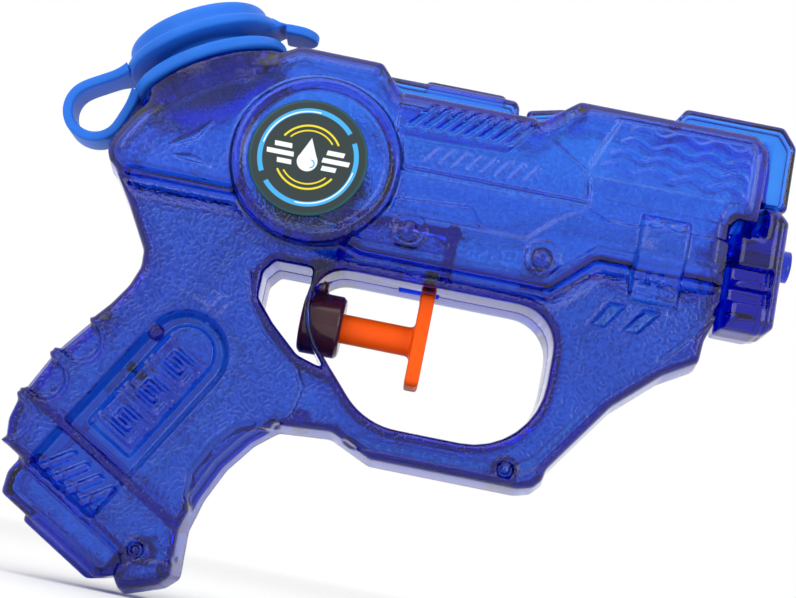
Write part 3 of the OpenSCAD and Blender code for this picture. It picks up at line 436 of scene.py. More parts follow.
def pipe(name, path, outer, inner, material):
    """A hose: an outside and an inside wall with flat rims."""
    corners, faces = sweep(path, lambda k: circle(outer))
    more, inside = sweep(path, lambda k: circle(inner))
    shift, n = len(corners), len(corners) // len(path)
    faces += [tuple(shift + q for q in f[::-1]) for f in inside]
    for row, flip in ((0, False), (shift - n, True)):
        for k in range(n):
            m = (k + 1) % n
            quad = (row + k, shift + row + k, shift + row + m, row + m)
            faces.append(quad[::-1] if flip else quad)
    return new_object(name, np.concatenate([corners, more]), faces, material)


# Finishes


def feed(tree, place, value):
    """Links a value to a socket, or sets a plain number or colour on it."""
    if isinstance(value, Val):
        tree.links.new(value.socket, place)
    else:
        place.default_value = value


def reckon(tree, operation, *values):
    """A Math node on values and plain numbers."""
    node = tree.nodes.new("ShaderNodeMath")
    node.operation = operation
    for place, value in zip(node.inputs, values):
        feed(tree, place, value)
    return Val(tree, node.outputs[0])


class Val:
    """A value in a finish's node tree; sums on it add Math nodes."""

    def __init__(self, tree, socket):
        self.tree, self.socket = tree, socket

    def math(self, operation, *others):
        """This value put through a Math node, with others where the node takes them."""
        return reckon(self.tree, operation, self, *others)

    def __add__(self, other):
        return self.math("ADD", other)

    def __sub__(self, other):
        return self.math("SUBTRACT", other)

    def __rsub__(self, other):
        return reckon(self.tree, "SUBTRACT", other, self)

    def __mul__(self, other):
        return self.math("MULTIPLY", other)

    def __truediv__(self, other):
        return self.math("DIVIDE", other)

    def __rtruediv__(self, other):
        return reckon(self.tree, "DIVIDE", other, self)

    __radd__ = __add__
    __rmul__ = __mul__

    def unsigned(self):
        """The value without its sign."""
        return self.math("ABSOLUTE")

    def most(self, other):
        """The larger of two values."""
        return self.math("MAXIMUM", other)

    def band(self, low, high):
        """Nought at low, one at high, and held outside them."""
        return ((self - low) / (high - low)).most(0.0).math("MINIMUM", 1.0)


class Finish:
    """A material being written, with one method that adds any node to it."""

    def __init__(self, name):
        self.material = bpy.data.materials.new(name)
        self.material.use_nodes = True
        self.tree = self.material.node_tree
        self.shader = self.tree.nodes["Principled BSDF"]
        self.output = self.tree.nodes["Material Output"]
        self.coords = None

    def add(self, kind, settings=None, sockets=None, out=0):
        """A node of a kind: its settings first, then the values or links of its sockets."""
        node = self.tree.nodes.new(kind)
        for name, value in (settings or {}).items():
            setattr(node, name, value)
        for name, value in (sockets or {}).items():
            feed(self.tree, node.inputs[name], value)
        return Val(self.tree, node.outputs[out])

    def set(self, **values):
        """Values or links for the shader's own sockets, spaces written as _."""
        for name, value in values.items():
            feed(self.tree, self.shader.inputs[name.replace("_", " ")], value)
        return self

    def place(self):
        """Where a point lies, in metres."""
        self.coords = self.coords or self.add("ShaderNodeTexCoord", out="Object")
        return self.coords

    def xyz(self, vector):
        """The three parts of a place or a direction."""
        node = self.add("ShaderNodeSeparateXYZ", None, {"Vector": vector}).socket.node
        return [Val(self.tree, socket) for socket in node.outputs]

    def noise(self, size, detail=2.0, rough=0.5):
        """Soft speckle, nought to one, whose blobs are about size metres across."""
        return self.add("ShaderNodeTexNoise", {"noise_dimensions": "3D"},
                        {"Vector": self.place(), "Scale": 1.0 / size, "Detail": detail,
                         "Roughness": rough}, out="Fac")

    def mix(self, share, a, b):
        """A colour between two colours."""
        return self.add("ShaderNodeMix", {"data_type": "RGBA"}, {0: share, 6: a, 7: b}, out=2)

    def bump(self, height, depth):
        """A surface direction tilted by a height of about depth metres."""
        return self.add("ShaderNodeBump", None,
                        {"Height": height, "Distance": depth, "Strength": 1.0}, out="Normal")

    def soak(self, colour, density):
        """Colour taken up along the way through the plastic."""
        inside = self.add("ShaderNodeVolumeAbsorption", None,
                          {"Color": (*colour, 1), "Density": density})
        self.tree.links.new(inside.socket, self.output.inputs["Volume"])
        return self


def shade(colour, factor):
    """A colour made lighter or darker, ready for a socket."""
    return (*[min(1.0, c * factor) for c in colour], 1.0)


PLASTIC_IOR = 1.43
SHADE_NAVY = (0.03, 0.06, 0.35, 1)  # painted shade of steep faces and of the grip's recess
SEAM = (0.05, 0.05, 0.40, 1)


def casing_finish(name, look):
    """See-through blue plastic: leather lines low on the sides, fine grain above them and polish
    elsewhere; a painted highlight on the top, painted shade low on the sides, on steep faces and in
    the grip's recess, painted glints on the grain, and deeper where the halves meet."""
    m = Finish(name)
    _, y, z = m.xyz(m.place())
    facing = m.xyz(m.add("ShaderNodeNewGeometry", out="Normal"))[1]
    outward = facing * y
    flat = outward.band(0.0082, 0.0098)
    # Masks for painted shade in navy on the grip's recess floor and on the steep side faces
    recess_shade = outward.band(0.0076, 0.0081) * (1.0 - flat)
    steep_shade = (1.0 - facing.unsigned().band(0.45, 0.7)) * y.unsigned().band(0.0055, 0.0075)
    joined = 1.0 - y.unsigned().band(0.0002, 0.0006)
    # low marks the lower sides, which carry the leather lines and painted shade; high marks the top,
    # which carries a painted highlight
    low, high = 1.0 - z.band(-0.012, -0.006), z.band(0.004, 0.016)
    wander, grain, flow = m.noise(0.0012, 0.0), m.noise(0.0008, 2.0, 0.6), m.noise(0.012, 1.0)
    lines = low * (1.0 - (wander - 0.5).unsigned().band(0.04, 0.14))
    # The fine grain's speckle: it bumps the surface and also takes a painted glint as paler tint
    speckle_and_glint = grain.band(0.42, 0.72) * (1.0 - low * 0.6)
    # Painted shade: the lower sides darker than the rest
    tint = m.mix(low, shade(look.casing, 0.95), shade(look.casing, 0.75))
    for share, colour in (
            # Painted highlight: the top lighter, and its flat faces less darkened
            (high * 0.8, shade(look.casing, 1.4)),
            (flow.band(0.4, 0.7) * 0.3, shade(look.casing, 1.12)),
            (flat * (0.35 - high * 0.2), shade(look.casing, 0.5)),
            # painted shade on steep faces and in the recess
            ((steep_shade * 0.75).most(recess_shade * 0.6), SHADE_NAVY),
            # Lighter leather lines, and painted glints on the speckle
            (flat * lines.most(speckle_and_glint) * 0.85, shade(look.casing, 2.8)),
            (joined * 0.8, SEAM)):
        tint = m.mix(share, tint, colour)
    m.set(Base_Color=tint, Roughness=0.03 + flat * (0.02 + grain * 0.06),
          Transmission_Weight=1.0, IOR=PLASTIC_IOR,
          Normal=m.bump(flat * (lines + speckle_and_glint * 0.8), 0.00006))
    return m.soak(look.soak, look.density).material


def dark_finish(name, look):
    """The same plastic without grain, for thick polished pieces."""
    m = Finish(name)
    flow = m.noise(0.006, 2.0)
    tint = m.mix(flow.band(0.3, 0.7), shade(look.casing, 0.7), shade(look.casing, 0.85))
    m.set(Base_Color=tint, Roughness=0.03 + flow * 0.04, Transmission_Weight=1.0,
          IOR=PLASTIC_IOR, Normal=m.bump(flow, 0.00006))
    red, green, blue = look.soak
    return m.soak((red, green * 0.5, blue * 0.95), look.density).material


def barrel_finish(name):
    """Dark plum plastic, barely see-through, for the pump barrel."""
    m = Finish(name)
    flow = m.noise(0.005, 2.0)
    m.set(Base_Color=m.mix(flow, (0.05, 0.008, 0.028, 1), (0.11, 0.02, 0.035, 1)),
          Roughness=0.1 + flow * 0.1, Transmission_Weight=0.55, IOR=1.45,
          Normal=m.bump(flow, 0.00006))
    return m.material


def soft_finish(name, colour, rough, size, depth, subsurface=0.0):
    """Moulded opaque plastic with a fine skin and slow changes of tone."""
    m = Finish(name)
    pores, flow = m.noise(size, 3.0), m.noise(0.009, 2.0)
    tint = m.mix(flow.band(0.3, 0.7), shade(colour, 0.92), shade(colour, 1.06))
    m.set(Base_Color=tint, Roughness=rough + (pores - 0.5) * 0.12 + (flow - 0.5) * 0.08,
          Normal=m.bump(pores + flow, depth), Specular_IOR_Level=0.15,
          Subsurface_Weight=subsurface, Subsurface_Radius=(0.001, 0.001, 0.002))
    return m.material


def hose_finish(name, rough):
    """Clear plastic, for the hoses and, rougher, for the valves."""
    m = Finish(name)
    haze = m.noise(0.004, 2.0)
    m.set(Base_Color=m.mix(haze, (0.80, 0.86, 0.90, 1), (0.95, 0.97, 0.98, 1)),
          Roughness=rough + haze * 0.08, Transmission_Weight=1.0, IOR=1.40,
          Normal=m.bump(haze, 0.00005))
    return m.material


def metal_finish(name):
    """Drawn spring wire and polished balls."""
    m = Finish(name)
    draw = m.noise(0.0006, 4.0)
    m.set(Base_Color=m.mix(draw, (0.55, 0.56, 0.58, 1), (0.72, 0.72, 0.73, 1)), Metallic=1.0,
          Roughness=0.2 + draw * 0.15, Normal=m.bump(draw, 0.00002))
    return m.material


INK_SKY = (0.055, 0.36, 0.70, 1)
INK_YELLOW = (0.72, 0.60, 0.03, 1)
INK_WHITE = (0.78, 0.81, 0.80, 1)
INK_RIM = (0.014, 0.07, 0.085, 1)
INK_SHINE = (0.72, 0.80, 0.82, 1)
INK_EDGE = 0.06  # half the soft edge of a printed form, in millimetres


def badge_finish(name, look):
    """A printed disc: dark ground, a pale blue ring, yellow arcs and a white drop between bars."""
    m = Finish(name)
    x, _, z = m.xyz(m.place())
    x, z = x * 1000.0 - BADGE[0], z * 1000.0 - BADGE[1]
    r = (x * x + z * z).math("SQRT")
    angle = z.math("ARCTAN2", x)

    def over(value, limit):
        return value.band(limit - INK_EDGE, limit + INK_EDGE)

    def ring(low, high):
        return over(r, low) * (1.0 - over(r, high))

    def near(value, half):
        return 1.0 - over(value.unsigned(), half)

    speck = m.noise(0.0004, 2.0)
    colour = m.mix(speck * 0.25, shade(look.badge, 1.0), shade(look.badge, 1.5))
    gaps = (angle - 0.6).math("SINE").unsigned().band(0.10, 0.12)
    shine = (angle + 0.9).math("COSINE").unsigned().band(0.72, 0.74)
    upright = angle.math("SINE").unsigned()
    arcs = (ring(6.5, 6.9) * upright.band(0.52, 0.54)).most(
        ring(5.5, 5.8) * upright.band(0.62, 0.64))
    layers = [(ring(11.75, 12.5), INK_RIM), (ring(9.4, 10.4) * gaps, INK_SKY),
              (ring(9.6, 9.85) * shine, INK_SHINE), (arcs, INK_YELLOW)]
    across = x.unsigned() - z * 0.15
    for level, start, end in ((1.7, 3.4, 7.0), (0.0, 3.0, 8.6), (-1.7, 3.4, 6.4)):
        length = near(across - 0.5 * (start + end), 0.5 * (end - start))
        layers.append((near(z - level, 0.5) * length, INK_WHITE))
    bulb = 1.0 - over((x * x + (z + 0.9) * (z + 0.9)).math("SQRT"), 2.1)
    point = 1.0 - over(x.unsigned() - (4.1 - z) * 0.45, 0.0)
    layers.append((bulb.most(point * (z + 0.2).band(0.0, 0.1)), INK_WHITE))
    curl = near((x - 0.7) * (x - 0.7) + (z + 1.3) * (z + 1.3) - 0.7, 0.25)
    layers.append((curl * (x - 0.7).band(0.0, 0.1), INK_SKY))
    for share, ink in layers:
        colour = m.mix(share, colour, ink)
    m.set(Base_Color=colour, Roughness=0.32 + speck * 0.1, Normal=m.bump(speck, 0.00001),
          Specular_IOR_Level=0.2)
    return m.material


def floor_finish(name):
    """Pale floor that fades into the white around it."""
    m = Finish(name)
    x, y, _ = m.xyz(m.place())
    away = ((x + 0.08) * (x + 0.08) + (y + 0.02) * (y + 0.02)).math("SQRT").band(0.35, 1.2)
    speck = m.noise(0.002, 3.0)
    m.set(Base_Color=m.mix(speck, (0.90, 0.90, 0.91, 1), (0.94, 0.94, 0.94, 1)),
          Roughness=0.7 + speck * 0.1, Normal=m.bump(speck, 0.00003))
    glow = m.add("ShaderNodeEmission", None, {"Color": (1, 1, 1, 1), "Strength": 1.0})
    near = Val(m.tree, m.shader.outputs[0])
    blend = m.add("ShaderNodeMixShader", None, {0: away, 1: near, 2: glow})
    m.tree.links.new(blend.socket, m.output.inputs["Surface"])
    return m.material


def finish_of(name, make, *args):
    """A finish by name, made the first time it is asked for."""
    return bpy.data.materials.get(name) or make(name, *args)


def clear_blue(look):
    """The casing's plastic."""
    return finish_of("clear_blue_plastic", casing_finish, look)


def polished_blue(look):
    """The muzzle's plastic."""
    return finish_of("polished_blue_plastic", dark_finish, look)


def cap_blue(look):
    """The soft plastic of the cap, its ring and its strap."""
    return finish_of("cap_plastic", soft_finish, tuple(look.cap), 0.42, 0.0007, 0.00003, 0.08)


def repaint(names, material):
    """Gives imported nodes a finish."""
    for name in names:
        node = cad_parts[name]
        node.data.materials.clear()
        node.data.materials.append(material)


# The half casings


def grip_axes(grid):
    """How far the points of a grid lie across the grip and up it."""
    x, z = grid.x - GRIP[0], grid.z - GRIP[1]
    return x * COS - z * SIN, x * SIN + z * COS


def neck_axes(grid):
    """How far the points of a grid lie off the neck's axis and out along it."""
    x, z = grid.x - NECK[0], grid.z - NECK[1]
    return np.hypot(x * COS + z * SIN, grid.y), z * COS - x * SIN


class Relief:
    """Heights and hollows drawn on the side faces, in millimetres, hollows above nought."""

    def __init__(self, grid):
        self.x, self.z = grid.x, grid.z
        self.map = np.zeros(np.broadcast(grid.x, grid.z).shape, np.float32)

    def press(self, distance, depth, soft=0.45):
        """A form of a depth, by the distance from it, with a slope soft wide."""
        self.map += depth * np.clip(0.5 - distance / soft, 0, 1)

    def panel(self, points, depth, soft=0.45):
        """A flat form with straight edges."""
        self.press(to_outline(points, self.x, self.z), depth, soft)

    def groove(self, points, width, depth):
        """A line of a width."""
        self.press(to_line(points, self.x, self.z) - 0.5 * width, depth)

    def loop(self, points, width, depth):
        """A line of a width that closes on itself."""
        self.groove(points + points[:1], width, depth)

    def hoop(self, x, z, r, half, depth):
        """A round line."""
        self.press(within(np.hypot(self.x - x, self.z - z), r, half), depth)


def broad_relief(grid):
    """The larger forms of each side, which the inside of the wall follows too."""
    side = Relief(grid)
    side.panel([(-86.6, 9.2), (-63.4, 9.8), (-58.2, 16.8), (-58.4, 20), (-86.6, 20)], -0.5)
    side.panel([(-85, 8.8), (-63.2, 9.4), (-58, 16), (-46.5, 9.0), (-45.3, 2.6), (-83.6, 2.6)], 0.6)
    side.panel([(-45.2, 7.8), (-41.2, 4.1), (-12.0, 3.9), (-12.0, 0.4), (-40.3, -0.9),
                (-44.6, 1.1)], 0.6)
    tray = [(-84.0, 0.4), (-46, 0.4), (-50.6, -2.4), (-56.2, -7.8), (-84.5, -7.8)]
    side.panel(tray, 0.5, 1.2)
    side.panel(CLIP, -1.4, 0.9)
    bar = [(-83.8, -4.6), (-68.3, -3.5), (-65.3, -7.2), (-84.2, -7.4)]
    side.panel(bar, -0.8, 0.6)
    u, v = grip_axes(grid)
    pad = np.hypot(u - 0.9, v - np.clip(v, -42.0, -0.5))
    side.map += 2.4 * ramp(9.2 - pad, 1.6) * ramp(v + 37.4, 1.2)
    bottle = np.hypot(u - 1.0, v - np.clip(v, -30.0, 0.0))
    side.map -= 0.8 * ramp(5.9 - bottle, 0.6) * ramp(v + 23.6, 0.8)
    for middle, deep in ((-12.3, 1.0), (-22.7, 1.0), (-33.0, 0.6)):
        pocket = np.hypot(np.maximum(u + 16.4, 0), v - middle) - 4.0
        side.press(pocket, deep, 1.2)
        side.press(within(pocket, 0.5, 0.45), -0.35)
    rim = [(-109.1, -78.2), (-113.2, -72.5), (-113.5, -67.5), (-110.2, -60.9), (-106.1, -56.2),
           (-103, -54.9), (-97.4, -56.8)]
    side.panel(rim + [(-88, -62), (-98, -80)], 1.3, 1.4)
    side.groove(rim, 1.1, -0.5)
    return side.map


def fine_relief(grid):
    """The smaller slots, ribs and lines on the outside of each side."""
    side = Relief(grid)
    for i in range(8):
        x = -84.8 + 2.95 * i
        side.panel([(x, 11), (x + 5, 16.4), (x + 6.3, 16.4), (x + 1.3, 11)], 0.8)
        side.groove([(x + 5.6, 4.0), (x + 8.0, 7.4)], 0.9, -0.4)
    ledge = [(-110, -8.0), (-89.3, -14.6), (-50.2, -14.2), (-41.3, -6.6), (-14.5, -6.2)]
    side.groove(ledge, 0.8, 0.35)
    side.groove([(-139, -9.0), (-118, -9.0)], 0.9, 0.4)
    side.groove([(-83.0, 1.75), (-45.6, 1.6)], 1.0, 0.6)
    side.panel([(-131.8, -3.0), (-124.0, 3.6), (-126.4, -0.4)], 0.6)
    side.panel([(-131.2, -5.0), (-122.4, -5.6), (-126.6, -4.0)], 0.6)
    for k in range(4):
        ripple = [(-43.0 + 1.6 * k + q, 10.4 + 2.9 * k + 0.7 * math.sin(q * 0.8))
                  for q in np.linspace(0, 28.5 - 1.6 * k, 40)]
        side.groove(ripple, 1.3, -0.5)
    side.loop([(-46.6, 8.4), (-41.4, 21.0), (-12.4, 21.0), (-12.4, 8.4)], 0.8, 0.4)
    for x in (-30.8, -26.0):
        side.hoop(x, 0.5, 0.9, 0.35, 0.5)
    for x in (-30.2, -27.6):
        side.groove([(x, -11.8), (x, -9.8)], 0.8, 0.4)
    for vent in ([(-40.4, -22.7), (-36.9, -22.4), (-33.2, -16.9), (-37.0, -17.0)],
                 [(-33.9, -22.6), (-30.3, -22.6), (-26.0, -17.2), (-29.6, -17.0)]):
        side.panel(vent, 0.8)
        side.loop(vent, 0.9, -0.5)
    side.groove([(-24.7, -26.7), (-18.2, -19.4), (-14.7, -13.9)], 1.0, 0.5)
    side.groove([(-83.3, -55.0), (-50.4, -55.0), (-45.6, -51.6), (-36.4, -38.8)], 2.4, 0.5)
    for x, z, r in ((-79.9, -10.9, 3.3), (-52.2, -11.1, 3.3), (-51.6, -54.6, 2.2),
                    (-120.2, -84.4, 2.0)):
        side.hoop(x, z, r, 0.4, -0.4)
        side.hoop(x, z, 0.62 * r, 0.35, 0.45)
        side.press(np.hypot(grid.x - x, grid.z - z) - 0.3 * r, -0.3)
    side.groove([(-110.3, -25.3), (-107.9, -31.6), (-104.3, -36.9), (-96.9, -42.5),
                 (-94.8, -46.4), (-95.9, -51.7), (-98.5, -54.9)], 1.0, 0.5)
    slot = to_line([(-116.1, -36.5), (-113.5, -32.8)], grid.x, grid.z)
    side.press(within(slot, 1.1, 0.35), -0.4)
    side.groove([(-122.6, -87.2), (-118.2, -85.6), (-111.2, -84.6)], 0.9, 0.4)
    u, v = grip_axes(grid)
    for level in (0.4, -7.2, -14.8):
        for turn in (1, -1):
            key = [(1 + turn * a, level + turn * b - 3.3) for a, b in
                   ((4.2, 3.0), (-4.2, 3.0), (-4.2, -1.2), (1.6, -1.2), (1.6, 0.9), (-1.6, 0.9))]
            side.press(to_line(key, u, v) - 0.5, -0.5)
    for k in range(4):
        bar = [(-5.4 + 3.6 * k, -36.6), (-2.2 + 3.6 * k, -30.2)]
        side.press(to_line(bar, u, v) - 0.8, -0.6)
    return np.minimum(side.map, 1.0)


def finger_openings(x, z):
    """Distance from the trigger's opening and the crescent gap behind it."""
    opening = to_outline(rounded(FINGER_ROOM), x, z)
    crescent = np.maximum(to_outline(CRESCENT, x, z), 1.2 - opening)
    stop = np.maximum(within(x, -91.6, 6), within(z, -21.9, 3))
    return np.minimum(opening, carve(crescent, stop))


def casing_solid(grid, size):
    """Distance from the casing as a full solid with softened edges."""
    x, w, z = grid.x, grid.y, grid.z
    bevel, edge, rim, shelf, fillet = 2.6, 2.0, 1.5, 1.8, 3.0
    top = to_outline(UPPER, x, z)
    upper = slab(top, w, SLIDE_HALF, bevel, size.draft)
    step = np.clip(1 - np.maximum(top, 0) / 3.4, 0, 1) * ramp(-4 - z, 2)
    lower = meet(pillow(to_outline(FRAME, x, z), w, FRAME_HALF, edge, size.draft),
                 pillow(-finger_openings(x, z), w, FRAME_HALF, rim),
                 (w - FRAME_HALF + shelf * step) * 0.9)
    disc = np.hypot(x - DISC[0], z - DISC[1])
    body = unite(upper, lower, pillow(disc - DISC_R, w, DISC_HALF, 1.6),
                 *[slab(to_outline(outline, x, z), w, half, slope)
                   for outline, half, slope in BLOCKS])
    body = np.maximum(body, np.minimum(w - RECESS_HALF, RECESS_R + w - RECESS_HALF - disc))
    rho, s = neck_axes(grid)
    boss = meet(rho - BOSS_R, (rho - BOSS_R - (s + 7.0) * 0.452) * 0.911, s - RING_LOW,
                -20.5 - s, (rho - BOSS_R + s - RING_LOW + 0.8) * DIAGONAL)
    body = np.maximum(join(body, boss, fillet), w - SIDE_LIMIT)
    return soften(body.astype(np.float32), 2)


def casing_ribs(x, z, half=0.8):
    """Distance from the ribs, the bulkhead, the pins' sockets and the pegs inside the casing."""
    return unite(
        np.maximum(within(z, -9.6, half), within(x, -81.85, 11.85)),
        np.maximum(within(x, -92.9, half), within(z, -14.85, 5.25)),
        np.maximum(within(x, -70.8, half), within(z, -14.85, 5.25)),
        to_line([on_grip(-24, -27), on_grip(30, -27)], x, z) - half,
        *[within(np.hypot(x - px, z - pz), 2.1, 0.5) for px, pz in PINS],
        *[np.hypot(x - px, z - pz) - r for px, pz, r in PEGS])


def casing_field(grid, size):
    """Distances from one half casing, worked out on its outward side."""
    x, w, z = grid.x, grid.y, grid.z
    solid = casing_solid(grid, size)
    spare = 0.7  # less wall along the top edges, on the rail and in the fin
    thin = spare * np.maximum(ramp(z - 24.5, 1.5), ramp(z - 19.6, 1) * (np.abs(x + 71.5) < 21))
    thin = np.maximum(thin, spare * ramp(x + 8.2, 1) * (z > 10.6))
    outward = ramp(w - 5, 2) * size.relief
    broad = broad_relief(grid)
    cavity = solid + size.wall / MM - thin + broad * outward
    outside = solid + (broad + fine_relief(grid)) * outward
    rho, s = neck_axes(grid)
    collar = meet(BORE_R - rho, rho - 15.4, s + 2.7, -8.0 - s)
    shell = unite(carve(outside, cavity), np.maximum(solid + 0.4, casing_ribs(x, z)), collar)
    bore = np.maximum(rho - BORE_R, -8.05 - s)
    jet = np.maximum(np.hypot(w, z) - 2.6, -19.0 - x)
    barrel = np.maximum(np.hypot(w, z - PUMP_Z) - (BARREL_R + 0.05), within(x, -93.0, 5.45))
    stub = np.maximum(np.hypot(w, x - STUB_X) - 2.05, within(z, -22.0, 6.0))
    tongue = meet(w - 2.3, within(x, -75.5, 4.2), within(z, -18.0, 5.0))
    shell = carve(shell, bore, jet, barrel, stub, tongue)
    return np.maximum(shell, 0.03 - w).astype(np.float32)


class SquirterCasing(bpy.types.PropertyGroup):
    """Sizes of the half casings"""

    wall: FloatProperty(name="Wall", description="Thickness of the casing's wall",
                        default=0.0018, min=0.001, max=0.003, subtype="DISTANCE", unit="LENGTH")
    draft: FloatProperty(name="Draft", description="How far the sides draw in for each unit of depth",
                         default=0.1, min=0.0, max=0.2)
    relief: FloatProperty(name="Relief", description="Share of the full depth of the side panels",
                          default=1.0, min=0.2, max=1.4, subtype="FACTOR")
    cell: FloatProperty(name="Fineness", description="Spacing of the points the casing is made on",
                        default=0.0004, min=0.0003, max=0.001, subtype="DISTANCE", unit="LENGTH")
    triangles: IntProperty(name="Triangles", description="Triangles kept in each half casing",
                           default=130000, min=20000, max=400000)


class SquirterLook(bpy.types.PropertyGroup):
    """Colours of the pieces"""

    casing: FloatVectorProperty(name="Casing tint", description="Tint of the casing's surface",
                                default=(0.22, 0.60, 0.95), subtype="COLOR", min=0, max=1)
    soak: FloatVectorProperty(name="Casing depth colour",
                              description="Colour that thick plastic keeps",
                              default=(0.02, 0.33, 0.96), subtype="COLOR", min=0, max=1)
    density: FloatProperty(name="Casing depth", description="How fast thick plastic darkens",
                           default=560.0, min=0.0, max=2000.0)
    cap: FloatVectorProperty(name="Cap colour", description="Colour of the cap, ring and strap",
                             default=(0.018, 0.145, 0.62), subtype="COLOR", min=0, max=1)
    trigger: FloatVectorProperty(name="Trigger colour", description="Colour of the trigger",
                                 default=(0.88, 0.09, 0.001), subtype="COLOR", min=0, max=1)
    badge: FloatVectorProperty(name="Badge ground", description="Ground colour of the badges",
                               default=(0.026, 0.038, 0.038), subtype="COLOR", min=0, max=1)


class SquirterStage(bpy.types.PropertyGroup):
    """Lights and lens"""

    key: FloatProperty(name="Key light", description="Power of the overhead light",
                       default=0.9, min=0, unit="POWER")
    fill: FloatProperty(name="Fill light", description="Power of the side light",
                        default=1.35, min=0, unit="POWER")
    around: FloatProperty(name="Light all around", description="Level of the soft light on surfaces",
                          default=0.83, min=0, max=2)
    lens: FloatProperty(name="Lens", description="Focal length of the camera",
                        default=67.84, min=20, max=200, unit="CAMERA")


class SQUIRTER_OT_casing(bpy.types.Operator):
    """Moulds the two half casings with their walls, ribs and side panels"""

    bl_idname = "squirter.casing"
    bl_label = "Half casings"

    def execute(self, context):
        size, look = context.scene.squirter_casing, context.scene.squirter_look
        grid = Grid((-155.6, -0.8, -95.6), (-1.5, 17.2, 31), size.cell / MM)
        field = casing_field(grid, size)
        for name, node, mirror in (("casing_right", "right_shell", True),
                                   ("casing_left", "left_shell", False)):
            half = mould(name, grid, field, size.triangles, clear_blue(look), mirror=mirror)
            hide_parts(node)
            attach(half, "casing")
        return {"FINISHED"}


class SQUIRTER_OT_muzzle(bpy.types.Operator):
    """Makes the thick muzzle block with its side slots, and finishes the jet"""

    bl_idname = "squirter.muzzle"
    bl_label = "Muzzle"

    def execute(self, context):
        look = context.scene.squirter_look
        grid = Grid((-14.4, -9.6, -18.4), (-1.2, 9.6, 11.4), 0.3)
        half_width, edge, draft = 8.6, 3.0, 0.06
        half = np.abs(grid.y)
        body = pillow(to_outline(MUZZLE, grid.x, grid.z), half, half_width, edge, draft)
        slots = [meet(within(grid.x, -8.45, 4.05), 6.2 - half, within(grid.z, middle, 1.5))
                 for middle in (-5.1, -9.6)]
        body = carve(body, *slots)
        line = np.maximum(within(grid.x, -4.9, 0.35), -0.45 - body)
        field = soften(carve(body, line).astype(np.float32), 2)
        field = carve(field, np.hypot(grid.y, grid.z) - 2.55).astype(np.float32)
        block = mould("muzzle", grid, field, 24000, polished_blue(look))
        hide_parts("muzzle_block")
        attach(block, "casing")
        repaint(["nozzle_jet"], polished_blue(look))
        return {"FINISHED"}


NECK_PLACE = (np.array([NECK[0], 0.0, NECK[1]]),
              np.array([[COS, 0.0, -SIN], [0.0, 1.0, 0.0], [SIN, 0.0, COS]]))


def turned(grid, corners):
    """Distance from a body turned about the neck's axis, by its outline (r, s, radius)."""
    rho = np.hypot(grid.x, grid.y)
    reach = np.linspace(0, float(rho.max()) + 0.2, 260, dtype=np.float32)
    height = grid.z.ravel()
    table = to_outline(rounded(corners, 6), reach[:, None], height[None, :])
    at = np.clip(rho[:, :, 0] / reach[1], 0, len(reach) - 1.001)
    low = at.astype(int)
    share = (at - low)[..., None]
    return table[low] * (1 - share) + table[low + 1] * share


def cap_field(grid):
    """Distances from the filler cap, upright on the neck's axis."""
    rim = [(15.2, 9.1, 1.6), (15.4, 5.2, 0.6), (RING_R, 5.5, 0.9), (RING_R, CAP_LOW, 0.7),
           (9.9, CAP_LOW, 0.5), (9.9, -5.5, 0.9)]
    body = turned(grid, rim + [(-r, s, corner) for r, s, corner in reversed(rim)])
    rho = np.hypot(grid.x, grid.y)
    for s in (-1.6, -4.2):
        body = join(body, np.hypot(rho - 9.75, grid.z - s) - 0.7, 0.5)
    along = (grid.x - RING_R) * COS - (grid.z - CAP_LOW) * SIN
    level = (grid.x - RING_R) * SIN + (grid.z - CAP_LOW) * COS
    blade = np.maximum(np.hypot(np.maximum(along - 3.9, 0), grid.y) - 4.5, within(level, 0.1, 1.05))
    root = meet(blade, -3.0 - along, 3.15 - grid.z)
    body = join(body, np.minimum(root, np.maximum(blade, 1.3 - along)), 1.2)
    hollow = np.maximum(rho - 7.9, grid.z - 7.1)
    dish = np.maximum(rho - 12.4, 8.75 - grid.z)
    grips = np.hypot(within(along, 4.4, 1.2), level - 1.35) - 0.45
    body = carve(body, hollow, dish, np.maximum(grips, np.abs(grid.y) - 2.6))
    return soften(body.astype(np.float32), 1)


class SQUIRTER_OT_cap(bpy.types.Operator):
    """Makes the filler cap with its pull tab, the ring on the neck and the neck's finish"""

    bl_idname = "squirter.cap"
    bl_label = "Filler cap and ring"

    def execute(self, context):
        look = context.scene.squirter_look
        grid = Grid((-18.2, -18.2, -6.4), (25.6, 18.2, 10.0), 0.32)
        cap = mould("filler_cap_top", grid, cap_field(grid), 60000, cap_blue(look), NECK_PLACE)
        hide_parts("filler_cap")
        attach(cap, "cap_group")
        grid = Grid((-18, -18, -3.2), (18, 18, 0.8), 0.3)
        field = turned(grid, [(RING_R, RING_LOW, 0.8), (RING_R, 0.0, 0.9), (BORE_R, 0.0, 0.5),
                              (BORE_R, RING_LOW, 0.3)])
        ring = mould("neck_ring", grid, field.astype(np.float32), 24000, cap_blue(look), NECK_PLACE)
        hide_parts("cap_ring")
        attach(ring, "casing")
        repaint(["filler_neck"], clear_blue(look))
        return {"FINISHED"}


